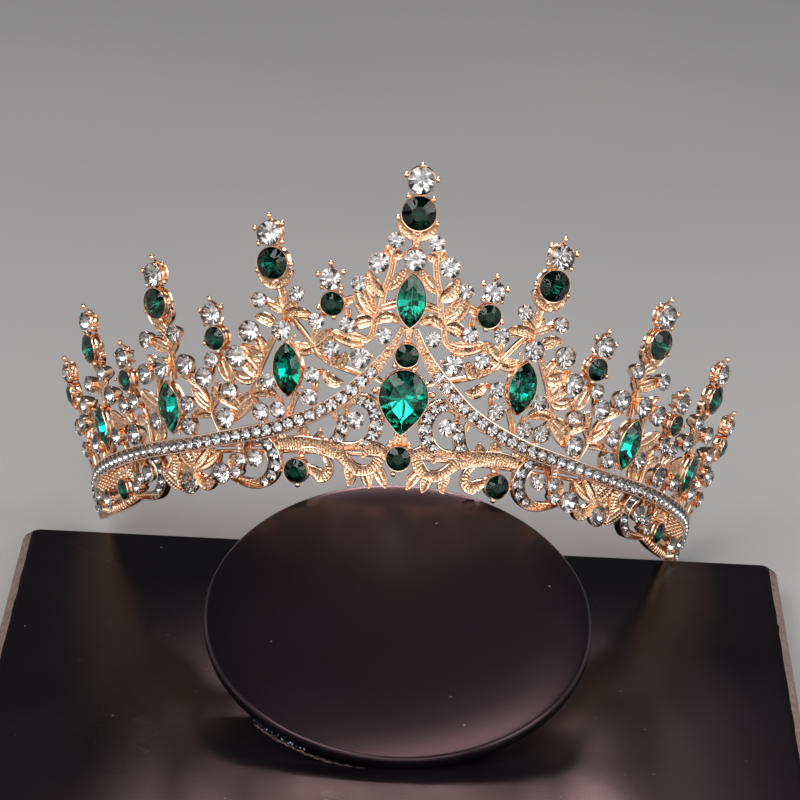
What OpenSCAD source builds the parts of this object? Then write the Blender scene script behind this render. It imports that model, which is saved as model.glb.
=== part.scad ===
// Baroque tiara on its display stand, in millimetres, +Z up.
// The origin is the centre of the stand board's underside; the tiara's front faces -Y.
// The tiara is laid out as a flat pattern: u runs along the wall from the centre line,
// v is the height above the tiara's base and d is the distance in front of the stones' girdles.

/* [Tiara] */
// Half of the opening's width at the base
half_w = 75; // [70:0.5:80]
// Depth of the opening at the base, from the ends to the front
half_d = 80.4; // [75:0.2:86]
// Outward lean of the wall from its base to its tips, in degrees
flare = 18.6; // [14:0.2:22]
// Radius that turns a length along the flat pattern into an angle
pattern_r = 86; // [84:0.5:90]
// Thickness of the cast ornament
metal_t = 1.3; // [1:0.1:1.6]

/* [Stones] */
// Height of a round stone above its girdle, as a share of its diameter
crown_share = 0.16; // [0.1:0.01:0.2]
// Diameter of the small stones in the wing bands
band_stone = 2.3; // [2:0.1:2.5]
// Spacing of the small stones along the wing bands
band_pitch = 3.15; // [3:0.05:3.4]
// Clear gap between a stone and the metal beneath it
stone_gap = 0.1; // [0.1:0.02:0.2]

/* [Stand] */
// Width of the board
board_w = 190; // [180:1:200]
// Depth of the board
board_d = 168; // [160:1:180]
// Thickness of the board
board_t = 10; // [9.5:0.5:10]
// Diameter of the round pad
pad_dia = 90; // [86:1:90]
// Thickness of the round pad
pad_t = 4.4; // [4:0.2:5]
// Slope of the round pad, in degrees
pad_slope = 20.2; // [19.2:0.2:20.2]

/* [Seat] */
// How far the tiara leans back on the stand, in degrees
tilt = 31; // [30:0.5:32]
// How far it lies askew on the stand, in degrees
askew = 2; // [0:0.5:3]

/* [Hidden] */
seat_at = [-3.5, 104.8, 2.5];
pad_front_y = -39.4;
GOLD = "#e3b183";
GREEN = "#0b6b4c";
CLEAR = "#dfe3ea";
LEATHER = "#241f22";

// Depths across the wall, measured from the girdles
plate_back = -2.8;
plate_front = plate_back + metal_t;
stone_foot = plate_front + 0.15;
cup_top = stone_foot - stone_gap;
cup_foot = -3.4;
girdle = -0.35;
rim_top = -0.25;

// Prongs: how far round their stone they stand, in degrees
CLEAR_TIP = [15, 90, 165];
GREEN_TIP = [-30, 210];
BARE = [];

// Single stones on the centre line: name, colour, height, diameter, prongs
centre_rounds = [
    ["top_clear_stone",      CLEAR, 72.0, 6.4, CLEAR_TIP],
    ["top_green_stone",      GREEN, 64.7, 8.1, BARE],
    ["collar_clear_stone",   CLEAR, 54.0, 5.0, CLEAR_TIP],
    ["middle_green_stone",   GREEN, 32.4, 5.5, BARE],
    ["bottom_green_stone",   GREEN,  8.8, 5.7, BARE]];

// Paired round stones: name, colour, u, v, diameter, prongs
paired_rounds = [
    ["first_tip_clear",      CLEAR,  32.9, 58.7, 5.7, CLEAR_TIP],
    ["first_tip_green",      GREEN,  32.2, 52.1, 7.6, GREEN_TIP],
    ["second_tip_clear",     CLEAR,  65.1, 50.5, 5.6, CLEAR_TIP],
    ["second_tip_green",     GREEN,  65.5, 44.0, 7.3, GREEN_TIP],
    ["third_tip_clear",      CLEAR,  96.5, 42.5, 5.2, CLEAR_TIP],
    ["third_tip_green",      GREEN,  97.3, 36.4, 7.0, GREEN_TIP],
    ["end_tip_clear",        CLEAR, 126.4, 34.4, 4.8, CLEAR_TIP],
    ["end_tip_green",        GREEN, 127.0, 29.2, 5.8, GREEN_TIP],
    ["first_small_green",    GREEN,  18.2, 43.2, 5.5, BARE],
    ["second_small_green",   GREEN,  48.5, 35.1, 5.5, BARE],
    ["third_small_green",    GREEN,  81.8, 27.2, 5.1, BARE],
    ["inner_low_green",      GREEN,  27.8,  4.7, 5.7, BARE],
    ["outer_low_green",      GREEN,  94.0,  2.1, 5.2, BARE]];

// Marquise stones: name, u, v, width, height
marquises = [
    ["centre_marquise",       0.0, 44.9, 6.8, 12.9],
    ["first_marquise",       29.5, 28.0, 6.9, 12.7],
    ["second_marquise",      65.8, 19.8, 6.9, 12.4],
    ["third_marquise",       99.0, 18.0, 5.4, 10.0]];

// Pear stone: v of its widest row, width, height above that row and below it
pear = [22.6, 11.6, 6.8, 8.9];
// How late the pear narrows towards its point
pear_taper = 1.7;

// Small clear stones in cups of their own: u, v, diameter
vine_stones = [
    [4.4, 58.3, 3.7], [7.9, 53.0, 4.8], [12.1, 48.0, 3.6], [18.7, 48.7, 5.1],
    [14.5, 38.5, 3.8], [5.8, 36.5, 3.6], [18.2, 32.9, 3.8], [11.2, 31.1, 4.9],
    [36.1, 43.6, 3.7], [26.7, 45.1, 3.7], [30.7, 36.8, 4.9], [39.1, 36.5, 5.2],
    [43.2, 30.8, 5.2], [22.0, 39.1, 3.8], [23.2, 26.8, 3.8], [23.8, 21.7, 3.9],
    [34.8, 25.2, 3.8], [32.4, 18.6, 3.9], [37.3, 18.1, 4.1], [45.9, 22.8, 4.2],
    [49.3, 40.5, 5.2], [71.0, 35.9, 4.0], [61.2, 36.7, 3.9], [66.9, 29.1, 5.2],
    [58.9, 29.4, 5.0], [73.4, 28.0, 5.0], [50.3, 30.2, 3.7], [53.2, 26.2, 4.8],
    [47.9, 16.7, 5.0], [59.6, 20.2, 4.0], [60.2, 15.1, 4.1], [71.9, 16.8, 4.0],
    [81.7, 32.5, 4.9], [93.2, 30.0, 3.9], [102.6, 28.2, 4.4], [91.2, 24.4, 4.8],
    [79.9, 21.9, 3.9], [84.8, 21.5, 3.9], [82.6, 14.4, 5.0], [92.2, 14.5, 4.4],
    [110.0, 24.2, 4.8], [107.0, 14.2, 4.8], [117.0, 20.6, 4.4], [129.0, 21.2, 4.4],
    [123.0, 14.8, 4.2],
    [11.8, 16.9, 4.0], [39.7, 7.3, 3.9],
    [50.9, 3.9, 5.0], [62.4, 1.9, 5.2], [79.3, 4.8, 4.2], [108.0, 0.9, 4.8], [117.0, 2.6, 4.0]];

// Middle line of a wing band, from its point to its end: u, v, width
band_line = [
    [1.5, 38.6, 1.3], [4.0, 33.5, 2.2], [7.7, 28.6, 3.3], [11.8, 24.6, 3.6], [16.5, 20.9, 3.6],
    [22.0, 18.1, 3.6], [28.0, 15.9, 3.6], [34.1, 14.2, 3.6], [41.0, 13.1, 3.6], [48.0, 12.2, 3.6],
    [56.0, 11.3, 3.6], [65.0, 10.7, 3.6], [75.0, 10.3, 3.6], [86.0, 9.8, 3.6], [96.0, 9.2, 3.6],
    [106.0, 8.6, 3.6], [115.0, 7.9, 3.6], [123.0, 6.4, 3.6], [129.5, 3.4, 3.4], [133.0, -0.8, 3.0]];
band_first_stone = 12.7;
band_stones = 42;

// Flat scrolls: middle line u, v and width
scrolls = [
    [[14.4, 16.8, 1.3], [13.4, 20.6, 1.8], [9.4, 21.4, 3.5], [6.4, 17.6, 3.9], [7.6, 12.8, 3.5],
     [12.6, 10.7, 2.0], [18.0, 10.9, 2.3]],
    [[15.2, 17.2, 2.9], [15.6, 14.2, 3.6], [18.6, 10.6, 3.1]],
    [[2.8, 8.8, 2.4], [6.0, 10.5, 3.0], [8.6, 9.8, 2.4], [9.7, 8.1, 0.9]],
    [[4.6, 9.8, 2.7], [6.6, 6.2, 3.3], [11.6, 5.6, 2.7], [16.6, 9.6, 4.5], [25.0, 10.8, 3.6],
     [33.0, 10.6, 2.7]],
    [[26.4, 9.8, 1.5], [21.2, 9.0, 1.7], [18.9, 5.2, 2.6], [21.2, 3.8, 2.2], [25.4, 5.0, 1.5]],
    [[43.2, 8.8, 1.2], [40.4, 11.7, 2.0], [36.1, 10.6, 3.4], [34.1, 6.6, 3.9],
     [36.2, 2.8, 3.4], [41.6, 1.4, 2.2], [48.6, 3.2, 1.6]],
    [[82.8, 7.6, 1.2], [79.2, 9.2, 1.8], [75.0, 7.6, 3.4], [73.8, 3.8, 3.6], [77.4, -0.1, 2.9],
     [88.0, 0.0, 1.7]],
    [[53.4, 5.4, 2.1], [54.3, 2.9, 2.7], [56.8, 1.5, 3.3], [60.0, 5.0, 1.4]],
    [[51.5, 6.8, 2.4], [56.0, 7.4, 4.8], [61.0, 6.6, 5.1], [66.4, 1.0, 2.7]],
    [[87.4, 8.8, 2.1], [90.6, 6.2, 2.7], [98.0, 5.7, 3.0], [110.0, 5.0, 3.3], [121.6, 5.0, 2.7]],
    [[86.8, 0.2, 2.1], [97.0, -1.6, 2.0], [110.0, -1.9, 2.0], [121.0, -0.8, 2.4], [130.0, 0.6, 3.6]]];

// Leaves: base u, base v, tip u, tip v, width, bend to the left of the way to the tip
leaves = [
    [5.8, 47.3, 2.0, 51.8, 2.9, 0.10], [6.4, 45.6, 10.2, 51.0, 3.8, -0.15],
    [8.6, 41.5, 11.2, 46.8, 2.2, 0.05], [9.0, 40.6, 12.8, 46.9, 3.5, -0.12],
    [4.8, 54.6, 2.7, 55.3, 2.2, 0.0], [17.2, 29.0, 21.0, 31.4, 2.4, 0.0],
    [38.2, 26.8, 40.0, 29.6, 2.9, 0.10], [52.6, 19.2, 51.2, 24.0, 2.7, 0.10],
    [64.4, 36.2, 67.6, 38.6, 2.9, 0.2], [69.0, 29.2, 72.4, 32.3, 2.7, -0.1],
    [77.2, 16.4, 80.8, 18.0, 2.9, 0.1], [84.8, 17.2, 88.6, 20.4, 2.9, 0.1],
    [104.4, 19.4, 109.4, 21.8, 2.9, 0.1], [31.4, 10.6, 33.0, 13.4, 2.7, 0.0],
    [54.6, 6.8, 53.6, 10.2, 2.5, 0.0], [8.2, 39.0, 2.1, 39.4, 2.7, -0.25],
    [8.4, 39.3, 13.6, 37.6, 3.2, 0.15],
    [9.4, 35.2, 18.6, 36.8, 3.5, -0.10], [4.8, 54.2, 6.9, 56.6, 2.2, 0.0],
    [17.4, 28.9, 15.2, 32.3, 2.9, 0.15],
    [20.2, 27.6, 15.3, 25.3, 2.9, 0.20],
    [23.2, 32.8, 18.5, 37.4, 4.5, 0.10], [22.6, 33.2, 28.0, 34.0, 3.2, -0.20],
    [30.8, 39.8, 26.6, 44.2, 2.6, 0.0], [30.8, 39.8, 23.4, 40.4, 2.6, -0.1],
    [29.8, 40.4, 35.2, 43.2, 2.2, 0.0],
    [32.6, 37.4, 37.6, 39.7, 3.0, 0.15], [35.8, 30.8, 42.0, 33.6, 4.2, -0.15],
    [38.6, 25.8, 44.6, 27.4, 3.0, -0.15], [38.0, 26.2, 42.4, 30.4, 3.2, 0.0],
    [36.2, 30.6, 38.4, 35.6, 2.9, 0.1], [17.5, 28.4, 18.0, 32.6, 2.6, 0.0],
    [40.6, 21.8, 32.8, 21.2, 3.0, -0.15], [39.6, 21.4, 46.3, 15.6, 4.8, 0.10],
    [43.6, 18.6, 50.5, 21.6, 3.0, 0.10],
    [52.5, 18.8, 57.8, 24.0, 2.7, -0.10],
    [55.4, 23.6, 61.4, 26.6, 2.7, 0.15], [52.0, 17.2, 59.0, 17.2, 2.9, 0.12],
    [64.4, 32.0, 61.0, 35.6, 2.7, 0.0], [64.4, 33.0, 70.2, 35.6, 3.0, 0.0],
    [70.6, 19.8, 77.0, 24.6, 4.2, -0.10], [74.6, 11.8, 70.2, 16.2, 2.9, 0.1],
    [88.4, 17.4, 94.6, 21.0, 3.5, -0.1], [96.8, 26.6, 93.4, 29.4, 2.6, 0.0],
    [96.8, 26.6, 101.6, 27.8, 2.6, 0.0], [103.6, 11.4, 112.2, 17.6, 3.8, -0.12],
    [114.6, 8.2, 119.0, 17.0, 3.5, 0.1],
    [121.0, 9.6, 129.6, 16.6, 3.8, -0.1], [127.6, 5.6, 132.6, 13.0, 3.5, 0.1],
    [6.6, 6.2, 3.0, 1.7, 3.2, -0.10], [9.4, 5.8, 7.4, 1.4, 3.5, -0.05],
    [13.6, 7.2, 13.2, 1.6, 3.8, -0.12], [23.2, 10.8, 21.2, 14.0, 3.0, 0.15],
    [27.2, 11.0, 25.9, 15.0, 3.6, 0.10],
    [53.4, 6.4, 50.3, 9.0, 2.3, 0.0],
    [58.0, 7.0, 58.8, 10.4, 2.6, 0.0],
    [61.6, 6.4, 64.2, 9.6, 2.5, 0.0], [63.4, 5.0, 68.0, 8.2, 2.9, 0.0],
    [66.2, 1.0, 73.6, 4.8, 3.1, 0.10]];

// Stems and straps: width, then the u, v of each point
stems = [
    [1.8, [4.4, 57.4], [5.4, 50.0], [7.0, 43.0], [8.2, 39.0], [9.6, 35.2], [11.4, 32.4]],
    [1.6, [2.6, 43.4], [6.8, 42.7]],
    [2.1, [12.4, 44.6], [16.4, 43.2]],
    [1.6, [11.0, 27.6], [17.6, 29.0], [23.2, 33.0], [22.0, 39.1], [19.4, 42.2]],
    [2.0, [31.8, 49.0], [30.2, 42.0], [30.6, 37.4]],
    [1.8, [32.0, 37.6], [36.0, 30.6], [39.6, 23.8], [38.0, 18.8]],
    [1.6, [20.0, 27.8], [23.2, 26.8], [23.6, 21.3], [23.0, 18.6]],
    [1.7, [28.6, 22.2], [30.0, 15.8]],
    [1.8, [48.5, 35.0], [49.0, 30.0], [46.2, 25.0], [45.9, 22.8]],
    [1.6, [50.3, 30.2], [53.2, 26.2], [56.4, 24.4], [58.9, 29.4], [66.9, 29.1]],
    [1.7, [51.8, 25.2], [52.8, 18.6], [50.6, 12.6]],
    [2.3, [65.4, 41.0], [64.4, 34.0], [65.4, 26.0]],
    [1.7, [66.9, 29.1], [73.4, 28.0], [81.8, 27.2]],
    [1.7, [69.4, 27.4], [71.4, 17.4], [74.6, 11.0]],
    [1.8, [81.8, 26.0], [79.9, 21.9], [77.2, 16.6], [77.6, 10.6]],
    [1.7, [79.9, 21.9], [84.8, 21.5], [91.2, 24.4], [97.0, 26.6]],
    [1.7, [84.8, 21.5], [84.6, 17.2], [82.2, 10.4]],
    [1.7, [84.4, 17.2], [88.4, 17.4], [92.2, 14.5], [90.8, 10.4]],
    [2.3, [97.2, 34.0], [97.0, 26.6], [98.8, 21.8]],
    [1.8, [101.4, 19.2], [105.0, 19.4], [110.0, 24.2], [117.0, 20.6], [127.0, 28.0]],
    [1.7, [98.8, 13.6], [107.0, 14.2], [108.6, 8.6]],
    [1.7, [117.0, 20.6], [123.0, 14.8], [122.0, 7.0]],
    [1.7, [127.0, 28.0], [129.0, 21.2], [129.6, 15.6]],
    [1.6, [30.2, 4.6], [34.0, 5.2]],
    [1.7, [44.2, 12.2], [44.2, 7.1], [49.0, 3.4]],
    [1.6, [39.7, 7.3], [44.2, 7.4]],
    [1.7, [70.6, 10.0], [69.6, 3.0]],
    [1.7, [88.6, 9.6], [79.3, 4.8]],
    [1.8, [94.0, 5.8], [94.0, -1.0]]];

// Hoop wires behind the ornament: heights, width, reach along the wall and depth of their middles
hoop_v = [8.6, 10.0];
hoop_w = 0.9;
hoop_reach = 130;
hoop_posts = [-130, -104, -60, 60, 104, 130];
hoop_d = -3.9;
hoop_step = 13;

// Cups: overlap beyond the stone, and how many sides the cups of the main, middling and small
// stones have; a stone of more than middling_d has a middling cup
cup_lip = 0.45;
main_sides = 8;
middling_sides = 6;
small_sides = 5;
middling_d = 4.8;
// Prongs: radius at the foot, height, and how deep they start in the cup
prong_r = 0.6;
prong_h = 2.6;
prong_root = 1.2;
// Rim of the plates behind the marquises and the pear
rim_t = 0.6;
// Leaves: depth of the back and of the rib, and where along it a leaf is widest
leaf_back = plate_back + 0.3;
leaf_peak = plate_front + 0.05;
leaf_widest = 0.42;
// Inner edge of a band's rails, as a share of its half width
rail_share = 0.78;
// Round stones: half widths of the table and of the foot as shares of the diameter, and how
// much smaller than its cup a stone is
table_share = 0.29;
foot_share = 0.38;
girdle_t = 0.2;
cup_slack = 0.1;
// Shaped stones: crown heights, table and foot as shares of the outline
marquise_rise = 1.1;
pear_rise = 1.7;
shaped_table = 0.55;
shaped_foot = 0.8;
face_t = 0.1;

// Mounts behind the centre stones: rows of v and width
centre_mounts = [
    [[62.0, 3.2], [59.6, 2.6], [56.0, 1.6], [50.0, 2.4]],
    [[39.0, 2.6], [34.0, 1.8], [28.0, 2.2]],
    [[15.0, 2.0], [12.6, 4.4], [8.0, 3.0]]];
// Arms beside the pear: u and v of both ends, width
centre_arms = [[5.6, 23.8, 7.2, 23.8, 1.2], [4.6, 25.6, 8.0, 27.6, 1.2]];
// Balls on the lower arms: u, v, radius at the foot and at the top, height
arm_ball = [7.3, 23.8, 0.9, 0.5, 2.2];
// Tabs that join the hoop wires to the ornament: width, height and how far they stand out behind
hoop_tab = [1.2, 2.4];
hoop_tab_back = 0.3;

// Pad and wedge: clear gap between the stand's pieces, the wedge's width, and where it
// starts and ends behind the pad's front
stand_gap = 0.05;
wedge_gap = 0.3;
wedge_w = 46;
wedge_from = 22;
wedge_to = 74;
board_corner = 2;

// Sections of the strips: share of the half width and depth of each corner
flat_section = [[-1, plate_back], [-1, plate_front], [1, plate_front], [1, plate_back]];
scroll_section = [[-1, plate_back + 0.2], [-0.3, plate_front + 0.1], [1, plate_back + 0.2]];
stem_section = [[-1, plate_back - 0.3], [0, plate_front - 0.3], [1, plate_back - 0.3]];
hoop_section = [[-1, hoop_d - 0.4], [0, hoop_d + 0.5], [1, hoop_d - 0.4]];
band_section = [[-1, plate_back - 0.1], [-1, rim_top], [-rail_share, cup_top], [rail_share, cup_top],
                [1, rim_top], [1, plate_back - 0.1]];

function turn(u) = u / pattern_r * 180 / PI;
function unit(p) = p / norm(p);
function flat_dir(a) = unit([half_w * cos(a), half_d * sin(a), 0]);
function outward(a) = let (t = flat_dir(a)) [t.y * cos(flare), -t.x * cos(flare), -sin(flare)];
function wall(u, v, d = 0) = let (a = turn(u), r = v * tan(flare))
    [(half_w + r) * sin(a), -(half_d + r) * cos(a), v] + d * outward(a);

// The row of a line that lies a given length along it
function row_at(line, s, i = 0) =
    let (step = line[i + 1] - line[i], length = norm([step[0], step[1]]))
    s <= length || i >= len(line) - 2 ? line[i] + step * (s / length) : row_at(line, s - length, i + 1);

// Carries a shape drawn flat, with Z outward, to its place on the wall
module on_wall(u, v, d = 0) {
    a = turn(u);
    x = flat_dir(a);
    z = outward(a);
    y = cross(z, x);
    p = wall(u, v, d);
    multmatrix([[x.x, y.x, z.x, p.x], [x.y, y.y, z.y, p.y], [x.z, y.z, z.z, p.z], [0, 0, 0, 1]])
        children();
}

// Lays the tiara on its stand
module seated() {
    translate(seat_at) rotate([-tilt, askew, 0]) children();
}

module both_sides() {
    children();
    mirror([1, 0, 0]) children();
}

// A strip bent to the wall: rows of u, v, width, and a section of [share of half width, depth]
module strip(rows, section) {
    n = len(rows);
    k = len(section);
    points = [for (i = [0:n - 1]) let (
        from = rows[max(i - 1, 0)], to = rows[min(i + 1, n - 1)],
        t = unit([to[0] - from[0], to[1] - from[1]]))
        for (s = section) wall(rows[i][0] + t.y * s.x * rows[i][2] / 2,
                               rows[i][1] - t.x * s.x * rows[i][2] / 2, s.y)];
    sides = [for (i = [0:n - 2], j = [0:k - 1]) let (j2 = (j + 1) % k)
        each [[i * k + j2, i * k + j, (i + 1) * k + j], [i * k + j2, (i + 1) * k + j, (i + 1) * k + j2]]];
    ends = [[for (j = [0:k - 1]) j], [for (j = [k - 1:-1:0]) (n - 1) * k + j]];
    polyhedron(points, concat(sides, ends));
}

// A pointed leaf, bent to one side, that rises to a peak on its middle rib
module leaf(row) {
    from = [row[0], row[1]];
    way = [row[2], row[3]] - from;
    side = [-way.y, way.x] * row[5];
    half = unit([-way.y, way.x]) * row[4] / 2;
    middle = from + way * leaf_widest + side;
    outline = [from, middle + half, from + way, middle - half];
    points = concat([for (p = outline) wall(p.x, p.y, leaf_back)], [wall(middle.x, middle.y, leaf_peak)]);
    polyhedron(points, [[0, 3, 2], [0, 2, 1], [0, 1, 4], [1, 2, 4], [2, 3, 4], [3, 0, 4]]);
}

module stem(row) {
    strip([for (i = [1:len(row) - 1]) [row[i].x, row[i].y, row[0]]], stem_section);
}

// A cup that carries a round stone, wider than the stone by its lip, with prongs round a tip stone
module cup(d, sides, prongs = []) {
    r = d / 2 + cup_lip;
    translate([0, 0, cup_foot]) rotate(-90) cylinder(r = r, h = cup_top - cup_foot, $fn = sides);
    for (a = prongs) rotate(a) translate([r, 0, 0]) rotate(180) prong();
}

// A three-sided spike that rises beside its stone
module prong() {
    translate([0, 0, cup_top - prong_root]) cylinder(r1 = prong_r, r2 = prong_r / 3, h = prong_h, $fn = 3);
}

// Outline of a marquise with points above and below
function marquise_outline(w, h, n = 6) = let (
    r = (h * h + w * w) / (4 * w), reach = asin(h / 2 / r)) [
    for (i = [-n:n - 1]) let (a = reach * i / n) [r * cos(a) - r + w / 2, r * sin(a)],
    for (i = [-n:n - 1]) let (a = reach * i / n) [-(r * cos(a) - r + w / 2), -r * sin(a)]];
// Outline of a pear: half an oval above its widest row and a point below it
function pear_outline(grow = 0) = let (w = pear[1] / 2 + grow, up = pear[2] + grow, down = pear[3] + grow) [
    for (a = [0:30:180]) [w * cos(a), up * sin(a)],
    for (s = [0.3, 0.6, 0.8]) [-w * (1 - pow(s, pear_taper)), -down * s],
    [0, -down],
    for (s = [0.8, 0.6, 0.3]) [w * (1 - pow(s, pear_taper)), -down * s]];

// A back plate that carries a stone of any outline
module seat_plate() {
    translate([0, 0, cup_foot]) linear_extrude(cup_top - cup_foot) children();
}
module marquise_seat(w, h) {
    polygon(marquise_outline(w + 2 * rim_t, h + 3 * rim_t, 2));
}

// Wing band with raised rails, the vines, leaves, scrolls and cups of one side
module side_ornament() {
    strip(band_line, band_section);
    for (row = scrolls) strip(row, scroll_section);
    for (row = leaves) leaf(row);
    for (row = stems) stem(row);
    for (s = vine_stones) on_wall(s[0], s[1]) cup(s[2], s[2] > middling_d ? middling_sides : small_sides);
    for (s = paired_rounds) on_wall(s[2], s[3]) cup(s[4], main_sides, s[5]);
    for (s = marquises) if (s[1] > 0) on_wall(s[1], s[2]) seat_plate() marquise_seat(s[3], s[4]);
}

module centre_ornament() {
    for (s = centre_rounds) on_wall(0, s[2]) cup(s[3], main_sides, s[4]);
    on_wall(0, marquises[0][2]) seat_plate() marquise_seat(marquises[0][3], marquises[0][4]);
    on_wall(0, pear[0]) seat_plate() polygon(pear_outline(rim_t));
    for (rows = centre_mounts) strip([for (row = rows) [0, row[0], row[1]]], flat_section);
    for (side = [-1, 1]) {
        for (arm = centre_arms)
            strip([[side * arm[0], arm[1], arm[4]], [side * arm[2], arm[3], arm[4]]], flat_section);
        on_wall(side * arm_ball[0], arm_ball[1], plate_back)
            cylinder(r1 = arm_ball[2], r2 = arm_ball[3], h = arm_ball[4], $fn = 5);
    }
}

// All of the soldered and plated metal
module gold_frame() {
    color(GOLD) seated() {
        both_sides() side_ornament();
        centre_ornament();
        for (v = hoop_v)
            strip([for (u = [-hoop_reach:hoop_step:hoop_reach]) [u, v, hoop_w]], hoop_section);
        for (u = hoop_posts) on_wall(u, (hoop_v[0] + hoop_v[1]) / 2, hoop_d - hoop_tab_back)
            linear_extrude(plate_front - hoop_d) square(hoop_tab, center = true);
    }
}

// A round stone with a flat table, eight crown facets and a flat foot
module round_stone(d) {
    r = d / 2;
    table = d * table_share;
    foot = d * foot_share;
    top = girdle + d * crown_share;
    low = girdle - girdle_t;
    intersection_for (i = [0:3])
        rotate(45 * i) rotate([90, 0, 0]) linear_extrude(height = 2 * d, center = true)
            polygon([[-foot, stone_foot], [foot, stone_foot], [r, low], [r, girdle],
                     [table, top], [-table, top], [-r, girdle], [-r, low]]);
}

// A stone of any outline, with a flat table and sloping crown
module shaped_stone(rise) {
    hull() {
        translate([0, 0, stone_foot]) linear_extrude(face_t) scale(shaped_foot) children();
        translate([0, 0, girdle - girdle_t]) linear_extrude(girdle_t) children();
        translate([0, 0, girdle + rise - face_t]) linear_extrude(face_t) scale(shaped_table) children();
    }
}

module marquise_stone(row) {
    color(GREEN) seated() on_wall(row[1], row[2])
        shaped_stone(marquise_rise) polygon(marquise_outline(row[3], row[4], 3));
}
module pear_stone() {
    color(GREEN) seated() on_wall(0, pear[0]) shaped_stone(pear_rise) polygon(pear_outline());
}
module set_stone(u, v, d, tint) {
    color(tint) seated() on_wall(u, v) round_stone(d - cup_slack);
}

// The loose small clear stones of one side's vines
module vine_field(side) {
    color(CLEAR) seated() for (s = vine_stones) on_wall(side * s[0], s[1]) round_stone(s[2] - cup_slack);
}

// The row of small stones set in one side's wing band
module band_field(side) {
    color(CLEAR) seated() for (i = [0:band_stones - 1]) {
        p = row_at(band_line, band_first_stone + i * band_pitch);
        on_wall(side * p[0], p[1]) round_stone(band_stone);
    }
}

// Flat board covered in dark leatherette
module stand_board() {
    r = board_corner;
    color(LEATHER) linear_extrude(board_t) polygon([
        for (c = [[1, 1, 0], [-1, 1, 90], [-1, -1, 180], [1, -1, 270]], a = [0:30:90])
            [c[0] * (board_w / 2 - r) + r * cos(c[2] + a), c[1] * (board_d / 2 - r) + r * sin(c[2] + a)]]);
}

// Round pad that slopes up to the tiara's front
module stand_pad() {
    color(LEATHER) translate([0, pad_front_y, board_t + stand_gap]) rotate([pad_slope, 0, 0])
        translate([0, pad_dia / 2, 0]) cylinder(d = pad_dia, h = pad_t, $fn = 96);
}

// Plain wedge under the pad
module stand_wedge() {
    low = wedge_from * tan(pad_slope) - wedge_gap;
    high = wedge_to * tan(pad_slope) - wedge_gap;
    color(LEATHER) translate([wedge_w / 2, pad_front_y, board_t + stand_gap])
        rotate([0, -90, 0]) linear_extrude(wedge_w)
            polygon([[0, wedge_from], [low, wedge_from], [high, wedge_to], [0, wedge_to]]);
}

SIDES = [["left", -1], ["right", 1]];

gold_frame();
pear_stone();
stand_board();
stand_pad();
stand_wedge();
for (s = centre_rounds) set_stone(0, s[2], s[3], s[1]);
marquise_stone(marquises[0]);
for (s = paired_rounds, k = SIDES)
    set_stone(k[1] * s[2], s[3], s[4], s[1]);
for (i = [1:3], k = SIDES)
    marquise_stone([for (j = [0:4]) j == 1 ? k[1] * marquises[i][j] : marquises[i][j]]);
for (k = SIDES) vine_field(k[1]);
for (k = SIDES) band_field(k[1]);
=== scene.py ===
"""Dressed model of a baroque tiara on its display stand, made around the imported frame."""
import math

import bpy
import numpy as np
from mathutils import Matrix, Vector


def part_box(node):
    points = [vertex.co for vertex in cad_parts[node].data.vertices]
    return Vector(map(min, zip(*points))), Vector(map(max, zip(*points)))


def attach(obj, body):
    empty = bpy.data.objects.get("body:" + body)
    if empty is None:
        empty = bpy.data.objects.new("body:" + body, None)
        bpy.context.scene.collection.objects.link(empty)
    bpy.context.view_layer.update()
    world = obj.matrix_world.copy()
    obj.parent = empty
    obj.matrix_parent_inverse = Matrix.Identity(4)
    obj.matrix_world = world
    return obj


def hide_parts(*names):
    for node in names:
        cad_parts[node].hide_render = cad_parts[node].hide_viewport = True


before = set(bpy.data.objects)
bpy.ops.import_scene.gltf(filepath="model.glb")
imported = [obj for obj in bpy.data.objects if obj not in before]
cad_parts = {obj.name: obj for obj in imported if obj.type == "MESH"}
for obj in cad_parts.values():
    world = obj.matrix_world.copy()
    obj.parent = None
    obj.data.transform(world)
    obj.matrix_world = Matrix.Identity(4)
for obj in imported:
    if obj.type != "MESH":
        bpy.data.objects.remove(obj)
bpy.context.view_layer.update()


# Board of the stand
# A fibreboard panel wrapped in thin near-black leatherette, which is glued down and turned
# under at the back and front. It lies flat on the floor and carries everything else.
MM = 0.001  # metres in a millimetre; the sizes in this file are in millimetres


def srgb(code):
    """Linear colour of an sRGB hex value."""
    parts = [int(code[i:i + 2], 16) / 255 for i in (1, 3, 5)]
    return tuple(c / 12.92 if c <= 0.04045 else ((c + 0.055) / 1.055) ** 2.4 for c in parts) + (1.0,)


def add_node(tree, kind, inputs=None, ramp=None, **settings):
    """Adds a node with its settings; inputs maps a socket to a value or to another node's output."""
    node = tree.nodes.new(kind)
    for name, value in settings.items():
        setattr(node, name, value)
    for name, value in (inputs or {}).items():
        if isinstance(value, bpy.types.NodeSocket):
            tree.links.new(value, node.inputs[name])
        else:
            node.inputs[name].default_value = value
    for i, (place, colour) in enumerate(ramp or []):
        stops = node.color_ramp.elements
        stop = stops[i] if i < 2 else stops.new(place)
        stop.position = place
        stop.color = colour
    return node


def new_material(name):
    """An empty material, its node tree and its object coordinates."""
    material = bpy.data.materials.new(name)
    material.use_nodes = True
    tree = material.node_tree
    tree.nodes.clear()
    return material, tree, add_node(tree, "ShaderNodeTexCoord").outputs["Object"]


def finish_material(tree, inputs):
    """Closes a material with its surface shader."""
    shader = add_node(tree, "ShaderNodeBsdfPrincipled", inputs)
    add_node(tree, "ShaderNodeOutputMaterial", {"Surface": shader.outputs["BSDF"]})


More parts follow.
